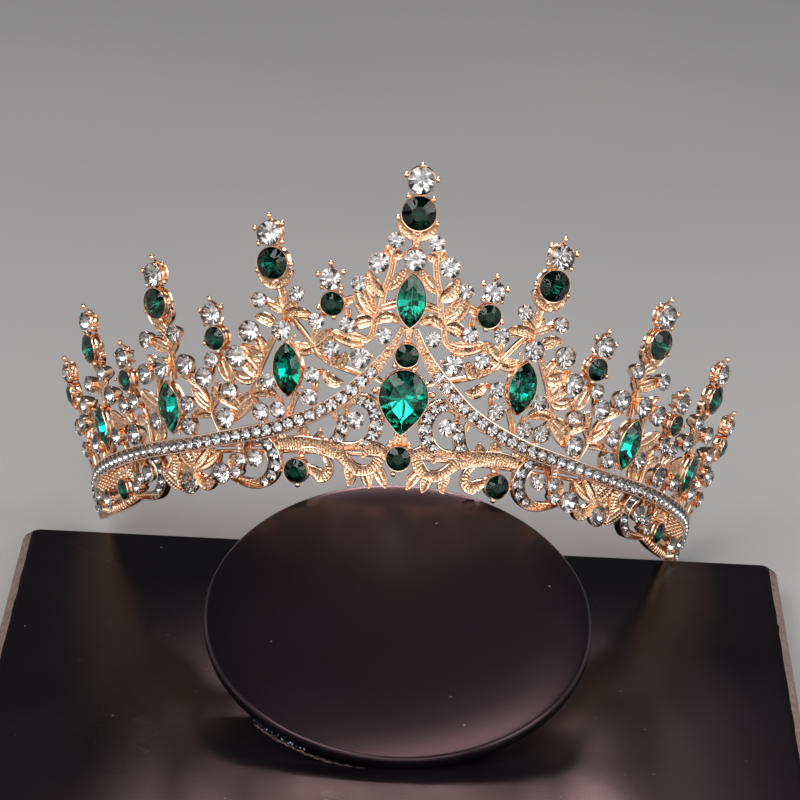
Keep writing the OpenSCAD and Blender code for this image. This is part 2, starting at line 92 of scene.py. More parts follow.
def leatherette(name, rough, level, grain_height):
    """Embossed PVC leather: a soft brown sheen on near black, a fine pebble grain and settled dust."""
    grain_size, tone_size, dust_gap, patch_size = 0.8, 45.0, 5.5, 18.0
    bare_share, wear = 0.52, 0.02
    material, tree, place = new_material(name)
    grain = add_node(tree, "ShaderNodeTexVoronoi", {"Vector": place, "Scale": 1 / (grain_size * MM)},
                     feature="SMOOTH_F1")
    tone = add_node(tree, "ShaderNodeTexNoise",
                    {"Vector": place, "Scale": 1 / (tone_size * MM), "Detail": 4.0})
    shade = add_node(tree, "ShaderNodeValToRGB", {"Fac": tone.outputs["Fac"]},
                     ramp=[(0.35, srgb("#08070b")), (0.7, srgb("#131015"))])
    dust = add_node(tree, "ShaderNodeTexVoronoi", {"Vector": place, "Scale": 1 / (dust_gap * MM)})
    specks = add_node(tree, "ShaderNodeValToRGB", {"Fac": dust.outputs["Distance"]},
                      ramp=[(0.035, (1, 1, 1, 1)), (0.06, (0, 0, 0, 1))])
    patches = add_node(tree, "ShaderNodeTexNoise", {"Vector": place, "Scale": 1 / (patch_size * MM)})
    dusty = add_node(tree, "ShaderNodeMath", {0: patches.outputs["Fac"], 1: bare_share},
                     operation="GREATER_THAN")
    settled = add_node(tree, "ShaderNodeMath", {0: specks.outputs["Color"], 1: dusty.outputs["Value"]},
                       operation="MULTIPLY")
    colour = add_node(tree, "ShaderNodeMix",
                      {"Factor": settled.outputs["Value"], "A": shade.outputs["Color"],
                       "B": srgb("#6e686c")},
                      data_type="RGBA")
    gloss = add_node(tree, "ShaderNodeMapRange", {"Value": tone.outputs["Fac"], "To Min": rough - wear,
                                                  "To Max": rough + wear})
    relief = add_node(tree, "ShaderNodeBump", {"Strength": 0.35, "Distance": grain_height * MM,
                                               "Height": grain.outputs["Distance"]})
    finish_material(tree, {"Base Color": colour.outputs["Result"], "Roughness": gloss.outputs["Result"],
                           "Specular IOR Level": level, "Specular Tint": srgb("#e6b9c4"),
                           "Normal": relief.outputs["Normal"]})
    return material


class Blank:
    """Points and faces of a piece while it is made; each face keeps the number of its finish."""

    def __init__(self):
        self.points = []
        self.faces = []
        self.finishes = []
        self.count = 0

    def add(self, points, faces, finishes):
        """Adds ready faces, which look outward."""
        self.faces += [[i + self.count for i in face] for face in faces]
        self.finishes += finishes
        self.points.append(points)
        self.count += len(points)

    def skin(self, grid, finish=0):
        """Closes a grid (ring, point, xyz) into a solid: a tube of rings with a face on each end."""
        rings, width = grid.shape[:2]
        index = np.arange(rings * width).reshape(rings, width)
        after = np.roll(index, -1, axis=1)
        quads = np.stack([index[:-1], after[:-1], after[1:], index[1:]], -1).reshape(-1, 4)
        flat = grid.reshape(-1, 3)
        corner = flat[quads] - flat.mean(axis=0)
        volume = np.einsum("ij,ij->", corner[:, 0], np.cross(corner[:, 1], corner[:, 2]))
        volume += np.einsum("ij,ij->", corner[:, 0], np.cross(corner[:, 2], corner[:, 3]))
        ends = [index[0, ::-1].tolist(), index[-1].tolist()]
        if volume < 0:
            quads = quads[:, ::-1]
            ends = [end[::-1] for end in ends]
        kept = np.broadcast_to(finish, (rings - 1, width))
        self.add(flat, quads.tolist() + ends, kept.ravel().tolist() + [int(kept[0, 0]), int(kept[-1, 0])])


def make_piece(name, blank, materials, nodes, crease=38):
    """Turns a blank into a piece that rides on the frame; a crease of 0 leaves flat facets."""
    mesh = bpy.data.meshes.new(name)
    mesh.from_pydata((np.concatenate(blank.points) * MM).tolist(), [], blank.faces)
    for material in materials:
        mesh.materials.append(material)
    mesh.polygons.foreach_set("material_index", blank.finishes)
    mesh.polygons.foreach_set("use_smooth", [crease > 0] * len(blank.faces))
    if crease > 0:
        mesh.set_sharp_from_angle(angle=math.radians(crease))
    mesh.update()
    piece = bpy.data.objects.new(name, mesh)
    bpy.context.collection.objects.link(piece)
    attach(piece, "root")
    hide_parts(*nodes)
    return piece


def panel_ring(half_x, half_y, corner, height):
    """One ring of a panel with rounded corners."""
    corner_points, off_axis = 7, 1e-6  # the second gives a point on an axis to the next corner
    turn = np.radians(np.concatenate([np.linspace(q, q + 90, corner_points) for q in (0, 90, 180, 270)]))
    x = np.sign(np.cos(turn + off_axis)) * (half_x - corner) + corner * np.cos(turn)
    y = np.sign(np.sin(turn + off_axis)) * (half_y - corner) + corner * np.sin(turn)
    return np.stack([x, y, np.full_like(x, height)], -1)


board_low, board_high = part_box("stand_board")
board_half = [(board_high[i] - board_low[i]) / 2 / MM for i in (0, 1)]
board_t = board_high[2] / MM
edge_bevel, board_corner = 2.2, 2.0
# Inset at the sides, inset at the front and back, height
board_profile = [(0.5, 0.5, 0.0), (0.0, 0.0, 0.6), (0.0, 0.0, board_t - edge_bevel),
                 (0.25, 0.1, board_t - edge_bevel * 0.75), (edge_bevel * 0.9, 0.5, board_t - 0.35),
                 (edge_bevel + 0.1, 0.9, board_t - 0.08), (edge_bevel + 0.9, 1.6, board_t)]
black_leatherette = leatherette("embossed_leatherette", 0.28, 0.2, 0.05)
board = Blank()
board.skin(np.stack([panel_ring(board_half[0] - inset_x, board_half[1] - inset_y, board_corner, height)
                     for inset_x, inset_y, height in board_profile]))
make_piece("stand_board_cover", board, [black_leatherette], ["stand_board"])


# Bare edges of the board
# The covering stops at the left and right edges of the panel, where the taupe paper of the
# board's own cut bevel shows as a narrow strip. It is the same panel, only left unwrapped.
def cut_board_edge():
    """Pressed paper board: matt taupe, with soft fibres that make it slightly uneven."""
    fibre_size, fibre_height = 1.6, 0.1
    material, tree, place = new_material("pressed_paper_board")
    fibre = add_node(tree, "ShaderNodeTexNoise",
                     {"Vector": place, "Scale": 1 / (fibre_size * MM), "Detail": 6.0})
    shade = add_node(tree, "ShaderNodeValToRGB", {"Fac": fibre.outputs["Fac"]},
                     ramp=[(0.3, srgb("#6b5854")), (0.7, srgb("#8d7872"))])
    relief = add_node(tree, "ShaderNodeBump", {"Strength": 0.4, "Distance": fibre_height * MM,
                                               "Height": fibre.outputs["Fac"]})
    finish_material(tree, {"Base Color": shade.outputs["Color"], "Roughness": 0.85,
                           "Normal": relief.outputs["Normal"]})
    return material


edges = Blank()
corner_wrap, strip_steps = 3.0, 40
strip_end = board_half[1] - corner_wrap
for side in (-1, 1):
    steps = np.linspace(-strip_end, strip_end, strip_steps)
    # The hand-cut edge wavers by about a tenth of a millimetre
    waver = 0.08 * np.sin(steps * 0.31) + 0.05 * np.sin(steps * 1.07)
    bevel = [(0.06, board_t - edge_bevel * 0.95), (-0.02, board_t - edge_bevel * 0.78),
             (edge_bevel * 0.5, board_t - edge_bevel * 0.42), (edge_bevel * 0.95, board_t - 0.22),
             (edge_bevel * 0.95, board_t - 0.6), (0.6, board_t - edge_bevel * 0.95)]
    edges.skin(np.stack([np.stack([side * (board_half[0] - inset - waver * (inset > 0.5)), steps,
                                   np.full_like(steps, height)], -1) for inset, height in bevel], 1))
make_piece("board_cut_edges", edges, [cut_board_edge()], ["stand_board"])


# Round pad
# A stiff disc with a thin layer of foam, wrapped in the same leatherette. Its covering is
# drawn tight over a rounded rim, and it is glued on at a slope that lifts the tiara's front.
pad_d, pad_t, pad_slope, pad_front = 90.0, 4.4, math.radians(20.2), -39.4
pad_glue, pad_sides = 0.05, 160


def pad_place(points):
    """Carries points of the level pad to its slope on the board."""
    y = points[..., 1] + pad_d / 2
    z = points[..., 2]
    return np.stack([points[..., 0], pad_front + y * math.cos(pad_slope) - z * math.sin(pad_slope),
                     board_t + pad_glue + y * math.sin(pad_slope) + z * math.cos(pad_slope)], -1)


def lathe(profile, sides):
    """Rings of a turned shape: profile rows are radius and height."""
    turn = np.arange(sides) * 2 * math.pi / sides
    return np.stack([np.stack([r * np.cos(turn), r * np.sin(turn), np.full_like(turn, z)], -1)
                     for r, z in profile])


pad_r = pad_d / 2
rim_round, rim_turn = 1.3, math.radians(79)
crown_drop, crown_power = 1.1, 8
tight_leatherette = leatherette("tight_leatherette", 0.26, 0.6, 0.012)
rim_top = pad_t - crown_drop + rim_round * (1 - math.sin(rim_turn))
rim_arc = [(pad_r - rim_round * (1 - math.cos(a)), rim_top - rim_round * (1 - math.sin(a)))
           for a in np.linspace(0, rim_turn, 7)]
crown_r = rim_arc[-1][0]
crown = [(crown_r * share, pad_t - crown_drop * share ** crown_power)
         for share in (0.985, 0.97, 0.95, 0.93, 0.91, 0.88, 0.85, 0.81, 0.76, 0.7, 0.6, 0.4, 0.02)]
pad_foot = [(pad_r - 1.4, 0.0), (pad_r - 0.35, 0.1), (pad_r, 0.6)]
pad = Blank()
pad.skin(pad_place(lathe(pad_foot + rim_arc + crown, pad_sides)))
make_piece("stand_pad_cover", pad, [tight_leatherette], ["stand_pad"])


# Torn place in the pad's covering
# At the front left the leatherette has split along the foot of the rim. Its glossy film curls
# up in small crumpled flakes, and a line of pale backing lint hangs out below them.
def plain_finish(name, colour, rough, metal):
    """One finish with a slight unevenness of tone: film or lint, by its roughness."""
    fleck_size = 0.5
    material, tree, place = new_material(name)
    fleck = add_node(tree, "ShaderNodeTexNoise", {"Vector": place, "Scale": 1 / (fleck_size * MM)})
    shade = add_node(tree, "ShaderNodeValToRGB", {"Fac": fleck.outputs["Fac"]},
                     ramp=[(0.35, srgb("#0c0c14")), (0.65, srgb(colour))])
    finish_material(tree, {"Base Color": shade.outputs["Color"], "Roughness": rough, "Metallic": metal})
    return material


torn_from, flakes_to, lint_to = 226.0, 246.0, 262.0
flake_step, lint_step, film_thick, lint_r = 0.42, 0.5, 0.12, 0.06
flake_size, flake_out, flake_foot = (0.2, 0.55), (-0.1, 0.15), (0.1, 0.6)
flake_tip, flake_skew = (-0.3, 0.5), (-0.3, 0.3)
lint_turn, lint_out, lint_hang, lint_gap = (0.8, 2.2), (0.0, 0.7), (-0.7, 0.1), 0.15
draw = np.random.default_rng(7)
torn = Blank()
for angle in np.arange(torn_from, flakes_to, flake_step):
    turn = math.radians(angle)
    out = np.array([math.cos(turn), math.sin(turn), 0.0])
    along = np.array([-math.sin(turn), math.cos(turn), 0.0])
    foot = out * (pad_r + draw.uniform(*flake_out)) + np.array([0, 0, draw.uniform(*flake_foot)])
    size = draw.uniform(*flake_size)
    tip = foot + out * size * 0.8 + np.array([0, 0, draw.uniform(*flake_tip)])
    flake = np.array([foot - along * size * 0.6, foot + along * size * 0.5,
                      tip + along * draw.uniform(*flake_skew), foot - np.array([0, 0, film_thick])])
    torn.add(pad_place(flake), [[0, 1, 2], [0, 3, 1], [1, 3, 2], [2, 3, 0]], [0, 0, 0, 0])
for angle in np.arange(torn_from, lint_to, lint_step):
    turn = np.radians(angle + np.array([0, 0.5, 1.0]) * draw.uniform(*lint_turn))
    reach = pad_r + lint_gap + draw.uniform(*lint_out, 3)
    line = np.stack([reach * np.cos(turn), reach * np.sin(turn), draw.uniform(*lint_hang, 3)], -1)
    ring = np.array([[0, 0, lint_r], [lint_r, 0, -lint_r / 2], [-lint_r, 0, -lint_r / 2]])
    torn.skin(pad_place(line[:, None] + ring[None]), 1)
torn_finishes = [plain_finish("torn_vinyl_film", "#8b90b4", 0.2, 0.7),
                 plain_finish("backing_lint", "#b08f8a", 0.9, 0.0)]
make_piece("pad_torn_covering", torn, torn_finishes, [], 0)


# Wedge under the pad
# A plain block of board wrapped like the rest and glued between the board and the pad. Only
# its sides can be seen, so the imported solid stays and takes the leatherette.
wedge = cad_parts["stand_wedge"]
for wedge_slot in wedge.material_slots:
    wedge_slot.material = black_leatherette
if not wedge.material_slots:
    wedge.data.materials.append(black_leatherette)


# Wing bands
# Two cast channels of rose-gold plated alloy, which rise from the ends to meet under the
# middle. Each has polished raised rails with burnished tops, painted paler as a highlight,
# and small grains of metal that hold its row of stones.
half_w, half_d, pattern_r, flare = 75.0, 80.4, 86.0, math.radians(18.6)
askew, lean_back = math.radians(2), math.radians(-31)
seat_at = np.array([-3.5, 104.8, 2.5])
seat_turn = np.array(Matrix.Rotation(askew, 3, "Y") @ Matrix.Rotation(lean_back, 3, "X"))


def seat(points):
    """Lays points of the upright tiara on the stand."""
    return points @ seat_turn.T + seat_at


def directions(u):
    """Unit vectors of the tiara's wall at u: along it, up it and out of it."""
    angle = np.asarray(u, float) / pattern_r
    along = np.stack([half_w * np.cos(angle), half_d * np.sin(angle), 0 * angle], -1)
    along /= np.linalg.norm(along, axis=-1, keepdims=True)
    outward = np.stack([along[..., 1] * math.cos(flare), -along[..., 0] * math.cos(flare),
                        0 * angle - math.sin(flare)], -1)
    return along, np.cross(outward, along), outward


def wall(u, v, d):
    """The point of the wall at u along it and v above its base, d in front of the girdles."""
    angle = np.asarray(u, float) / pattern_r
    height = np.asarray(v, float)
    reach = height * math.tan(flare)
    base = np.stack([(half_w + reach) * np.sin(angle), -(half_d + reach) * np.cos(angle),
                     height + 0 * angle], -1)
    return seat(base + np.asarray(d, float)[..., None] * directions(u)[2])


def on_wall(u, v, points):
    """Carries points drawn flat, with z outward, to their place on the wall."""
    along, up, outward = directions(u)
    shape = points[..., :1] * along + points[..., 1:2] * up + points[..., 2:] * outward
    return wall(u, v, 0.0) + shape @ seat_turn.T


def smooth(rows, step=0.5):
    """A smooth line through the rows of a table, in steps of about step."""
    rows = np.array(rows, float)
    far = np.vstack([2 * rows[:1] - rows[1:2], rows, 2 * rows[-1:] - rows[-2:-1]])
    line = []
    for before, start, end, beyond in zip(far, far[1:], far[2:], far[3:]):
        count = max(2, int(np.linalg.norm((end - start)[:2]) / step))
        t = np.arange(count)[:, None] / count
        line.append((2 * start + t * (end - before) + t ** 2 * (2 * before - 5 * start + 4 * end - beyond)
                     + t ** 3 * (3 * start - before - 3 * end + beyond)) / 2)
    return np.vstack(line + [rows[-1:]])


hatch_pitch = 0.8
hatched_from, hatched_to = 0.1, 0.6  # shares of the half width


def ribbon(blank, line, section, side=1, lift=0.0, ripple=0.0, pitch=hatch_pitch):
    """Sweeps a section along a line of u, v, width; a ripple hatches its middle crosswise.

    Section rows are share of the half width, inset from the edge, depth and finish."""
    inset_most = 0.8
    u = side * line[:, 0]
    way = np.stack([np.gradient(u), np.gradient(line[:, 1])], -1)
    way /= np.linalg.norm(way, axis=1, keepdims=True)
    half = line[:, 2] / 2
    reached = np.concatenate([[0], np.cumsum(np.linalg.norm(np.diff(line[:, :2], axis=0), axis=1))])
    hatch = ripple * np.sin(2 * math.pi * reached / pitch)
    columns, finishes = [], []
    for share, inset, depth, finish in section:
        across = share * half - np.sign(share) * np.minimum(inset, half * inset_most)
        raised = hatch if hatched_from < abs(share) < hatched_to else 0.0
        columns.append(wall(u + way[:, 1] * across, line[:, 1] - way[:, 0] * across, depth + lift + raised))
        finishes.append(finish)
    blank.skin(np.stack(columns, 1), np.array(finishes))


def ball(radius, sides=12):
    """Rings of a bead, drawn flat at the origin."""
    pole = 0.04
    turn = np.linspace(pole, math.pi - pole, 8)
    return lathe([(radius * math.sin(a), -radius * math.cos(a)) for a in turn], sides)


def bead(blank, u, v, d, radius, sides=12):
    """Sets a bead on the wall."""
    blank.skin(on_wall(u, v, ball(radius, sides) + np.array([0, 0, d])))


def plain_plate(name, deep, pale, grain, relief_height, rough):
    """Rose-gold plate over cast alloy: bright warm highlights and deep copper-brown reflections."""
    cloud_size = 6.0
    material, tree, place = new_material(name)
    cloud = add_node(tree, "ShaderNodeTexNoise",
                     {"Vector": place, "Scale": 1 / (cloud_size * MM), "Detail": 3.0})
    tint = add_node(tree, "ShaderNodeValToRGB", {"Fac": cloud.outputs["Fac"]},
                    ramp=[(0.3, srgb(deep)), (0.7, srgb(pale))])
    cast = add_node(tree, "ShaderNodeTexNoise", {"Vector": place, "Scale": 1 / (grain * MM), "Detail": 2.0})
    gloss = add_node(tree, "ShaderNodeMapRange", {"Value": cast.outputs["Fac"], "To Min": rough[0],
                                                  "To Max": rough[1]})
    relief = add_node(tree, "ShaderNodeBump", {"Strength": 0.4, "Distance": relief_height * MM,
                                               "Height": cast.outputs["Fac"]})
    finish_material(tree, {"Base Color": tint.outputs["Color"], "Metallic": 1.0,
                           "Roughness": gloss.outputs["Result"], "Normal": relief.outputs["Normal"]})
    return material


def grained_plate():
    """The same plate over a field punched with fine grains: it glitters, and its pits go copper brown."""
    punch_gap, punch_depth = 0.42, 0.16
    material, tree, place = new_material("grained_rose_gold_plate")
    grains = add_node(tree, "ShaderNodeTexVoronoi", {"Vector": place, "Scale": 1 / (punch_gap * MM)},
                      feature="SMOOTH_F1")
    tint = add_node(tree, "ShaderNodeValToRGB", {"Fac": grains.outputs["Distance"]},
                    ramp=[(0.1, srgb("#fddcbc")), (0.75, srgb("#c07d4a"))])
    height = add_node(tree, "ShaderNodeMath", {0: 1.0, 1: grains.outputs["Distance"]}, operation="SUBTRACT")
    relief = add_node(tree, "ShaderNodeBump", {"Strength": 0.8, "Distance": punch_depth * MM,
                                               "Height": height.outputs["Value"]})
    finish_material(tree, {"Base Color": tint.outputs["Color"], "Metallic": 1.0, "Roughness": 0.22,
                           "Normal": relief.outputs["Normal"]})
    return material


# The last column of the sections below is a finish's place in this list
# The burnished plate is the polished one painted paler: a painted highlight on burnished rims
gold = [plain_plate("polished_rose_gold_plate", "#f3c29c", "#fddcc0", 0.6, 0.03, (0.1, 0.24)),
        grained_plate(),
        plain_plate("as_cast_rose_gold_plate", "#d79c74", "#f0c6a4", 0.9, 0.25, (0.28, 0.5)),
        plain_plate("burnished_rose_gold_plate_painted_highlight", "#ffdcc6", "#fff0e4", 0.6, 0.02, (0.16, 0.3))]
band_line = [(1.5, 38.6, 1.3), (4, 33.5, 2.2), (7.7, 28.6, 3.3), (11.8, 24.6, 3.6), (16.5, 20.9, 3.6),
             (22, 18.1, 3.6), (28, 15.9, 3.6), (34.1, 14.2, 3.6), (41, 13.1, 3.6), (48, 12.2, 3.6),
             (56, 11.3, 3.6), (65, 10.7, 3.6), (75, 10.3, 3.6), (86, 9.8, 3.6), (96, 9.2, 3.6),
             (106, 8.6, 3.6), (115, 7.9, 3.6), (123, 6.4, 3.6), (129.5, 3.4, 3.4), (133, -0.8, 3.0)]
band_section = [(-1, 0, -2.9, 0), (-1, 0, -0.5, 3), (-1, 0.04, -0.39, 3), (-1, 0.12, -0.34, 3),
                (-1, 0.28, -0.34, 3), (-1, 0.36, -0.44, 0), (-1, 0.4, -0.7, 1), (-1, 0.42, -1.75, 1),
                (1, 0.42, -1.75, 0), (1, 0.4, -0.7, 0), (1, 0.36, -0.44, 3), (1, 0.28, -0.34, 3),
                (1, 0.12, -0.34, 3), (1, 0.04, -0.39, 3), (1, 0, -0.5, 0), (1, 0, -2.9, 2)]
band_first, band_pitch, band_stones = 12.7, 3.15, 42
grain_r, grain_depth, grain_inset, grain_reach = 0.24, -0.55, 0.62, 0.2
top_ball_u, top_ball_v, top_ball_depth, top_ball_r = 4.8, 33.6, -0.9, 0.75


def along_band(distance):
    """The u, v and width of the wing band's middle line at a distance along it."""
    rows = np.array(band_line, float)
    reached = np.concatenate([[0], np.cumsum(np.linalg.norm(np.diff(rows[:, :2], axis=0), axis=1))])
    return np.array([np.interp(distance, reached, rows[:, i]) for i in range(3)])


bands = Blank()
for side in (-1, 1):
    ribbon(bands, smooth(band_line), band_section, side)
    for i in range(band_stones + 1):
        here = band_first + (i - 0.5) * band_pitch
        start, end = along_band(here - grain_reach), along_band(here + grain_reach)
        way = (end - start)[:2] / np.linalg.norm((end - start)[:2])
        for edge in (-1, 1):
            reach = edge * ((start[2] + end[2]) / 4 - grain_inset)
            u, v = start[0] + way[1] * reach, start[1] - way[0] * reach
            bead(bands, side * u, v, grain_depth, grain_r, 8)
    bead(bands, side * top_ball_u, top_ball_v, top_ball_depth, top_ball_r)
make_piece("wing_bands", bands, gold, ["gold_frame"])


# Scrolls and lower border
# Baroque scrolls cast in one with the bands and filed at the edges. The broad ones are
# channels for stones, the others have a grained middle between burnished edges, and the
# outer runs of the border are ribbed and beaded. The burnished rims and edges are painted
# paler as a highlight.
channel_scrolls = [
    [(14.4, 16.8, 1.3), (14, 20, 1.6), (11.6, 21.6, 2.5), (8.6, 20.9, 3.5), (6.5, 18, 4.0), (6.7, 14.6, 3.9),
     (8.9, 11.8, 3.0), (12.6, 10.7, 2.0), (18, 10.9, 2.1)],
    [(15.2, 17.6, 2.6), (15.5, 14.6, 3.6), (16.6, 12.2, 3.6), (18.6, 10.6, 2.9)],
    [(43.2, 8.8, 1.2), (41.6, 11, 1.6), (38.8, 11.9, 2.3), (36.1, 10.6, 3.4), (34.4, 8, 3.9),
     (34.4, 5.2, 3.9), (36.2, 2.8, 3.4), (39.6, 1.5, 2.6), (43.6, 1.7, 2.0), (48, 3, 1.3)],
    [(82.8, 7.6, 1.2), (80.6, 8.9, 1.4), (77.6, 9, 2.1), (75, 7.6, 3.4), (73.8, 5, 3.6), (74.6, 1.9, 3.5),
     (77.4, -0.1, 2.6), (82, -0.4, 2.0), (88, 0, 1.4)]]
grained_scrolls = [
    [(2.8, 8.8, 2.4), (5.3, 10.2, 3.0), (7.4, 10.4, 3.0), (9.1, 9.4, 2.1), (9.7, 8.1, 0.9)],
    [(4.6, 9.6, 2.7), (5.7, 7.2, 3.3), (8.2, 5.4, 2.7), (11.6, 5.6, 2.7), (14.5, 7.6, 2.8), (16.6, 9.6, 4.5),
     (21.5, 10.4, 3.6), (27, 10.9, 3.6), (33, 10.6, 2.7)],
    [(26.2, 9.6, 1.2), (22.2, 9.4, 1.4), (19.4, 7.5, 1.8), (18.9, 4.9, 3.0), (20.8, 3.6, 3.2),
     (23.2, 4.6, 2.5), (24.6, 5.4, 1.5)],
    [(53.6, 5.4, 1.8), (54.3, 2.9, 2.7), (56.8, 1.5, 3.3), (59.3, 2.9, 2.7), (60, 5, 1.4)],
    [(51.5, 6.8, 2.4), (56, 7.4, 4.8), (61, 6.6, 5.1), (65.5, 3.4, 4.5), (66.8, 0.9, 2.1)],
    [(44.1, 11.9, 2.1), (44.3, 8.7, 2.1)]]
ribbed_scrolls = [
    [(87.4, 8.8, 2.1), (90.6, 6.2, 2.7), (94, 6, 2.7), (101, 5.4, 3.6), (110, 5, 3.3), (121, 4.6, 2.7)],
    [(87, 0.2, 2.1), (94, -1.2, 2.0), (103, -1.9, 2.0), (112, -1.9, 2.0), (122, -0.6, 2.4), (130, 0.6, 3.6)]]
rib_pitch, rib_height, scroll_hatch = 1.7, 0.3, 0.11
bar_from, bar_to, bar_pitch, bar_stretch, bar_r = 89.5, 121.5, 1.9, 2.4, 0.42
net_from, net_to, net_column, net_low, net_high, net_row, net_r = 98.5, 121.0, 2.2, 3.1, 7.4, 1.0, 0.5
milgrain_runs = [[(10.4, 11.3), (18.4, 10.9)], [(39.4, 1.5), (47.6, 2.9)], [(78.6, -0.2), (87.2, 0.0)]]
milgrain_count, milgrain_depth, milgrain_r, border_depth = 8, -1.05, 0.33, -1.0
channel_section = [(-1, 0, -2.8, 0), (-1, 0, -1.05, 3), (-1, 0.08, -0.85, 3), (-1, 0.18, -0.8, 3),
                   (-1, 0.3, -0.92, 1), (-1, 0.36, -2.6, 1), (1, 0.36, -2.6, 1), (1, 0.3, -0.92, 3),
                   (1, 0.18, -0.8, 3), (1, 0.08, -0.85, 3), (1, 0, -1.05, 0), (1, 0, -2.8, 2)]
grained_section = [(-1, 0, -2.7, 0), (-1, 0, -1.5, 0), (-1, 0.07, -1.28, 3), (-1, 0.17, -1.22, 3),
                   (-1, 0.3, -1.36, 1), (-0.3, 0, -1.5, 1), (0.3, 0, -1.5, 1), (1, 0.3, -1.36, 3),
                   (1, 0.17, -1.22, 3), (1, 0.07, -1.28, 0), (1, 0, -1.5, 0), (1, 0, -2.7, 2)]
ribbed_section = [(share, inset, depth, 0 if finish == 1 else finish)
                  for share, inset, depth, finish in grained_section]
scrolls = Blank()
for side in (-1, 1):
    for line in channel_scrolls:
        ribbon(scrolls, smooth(line, step=0.4), channel_section, side)
    for line in grained_scrolls:
        ribbon(scrolls, smooth(line, step=0.2), grained_section, side, ripple=scroll_hatch)
    for line in ribbed_scrolls:
        ribbon(scrolls, smooth(line, step=0.2), ribbed_section, side, ripple=rib_height, pitch=rib_pitch)
    for u in np.arange(bar_from, bar_to, bar_pitch):
        v = np.interp(u, [row[0] for row in ribbed_scrolls[1]], [row[1] for row in ribbed_scrolls[1]])
        bar = ball(bar_r, 10) * np.array([1, bar_stretch, 1]) + np.array([0, 0, border_depth])
        scrolls.skin(on_wall(side * u, v, bar))
    for column, u in enumerate(np.arange(net_from, net_to, net_column)):
        for v in np.arange(net_low + net_row / 2 * (column % 2), net_high, net_row):
            bead(scrolls, side * u, v, border_depth, net_r, 10)
    for start, end in milgrain_runs:
        for share in np.linspace(0, 1, milgrain_count):
            u, v = np.array(start) * (1 - share) + np.array(end) * share
            bead(scrolls, side * u, v, milgrain_depth, milgrain_r, 8)
make_piece("scrolls", scrolls, gold, ["gold_frame"])


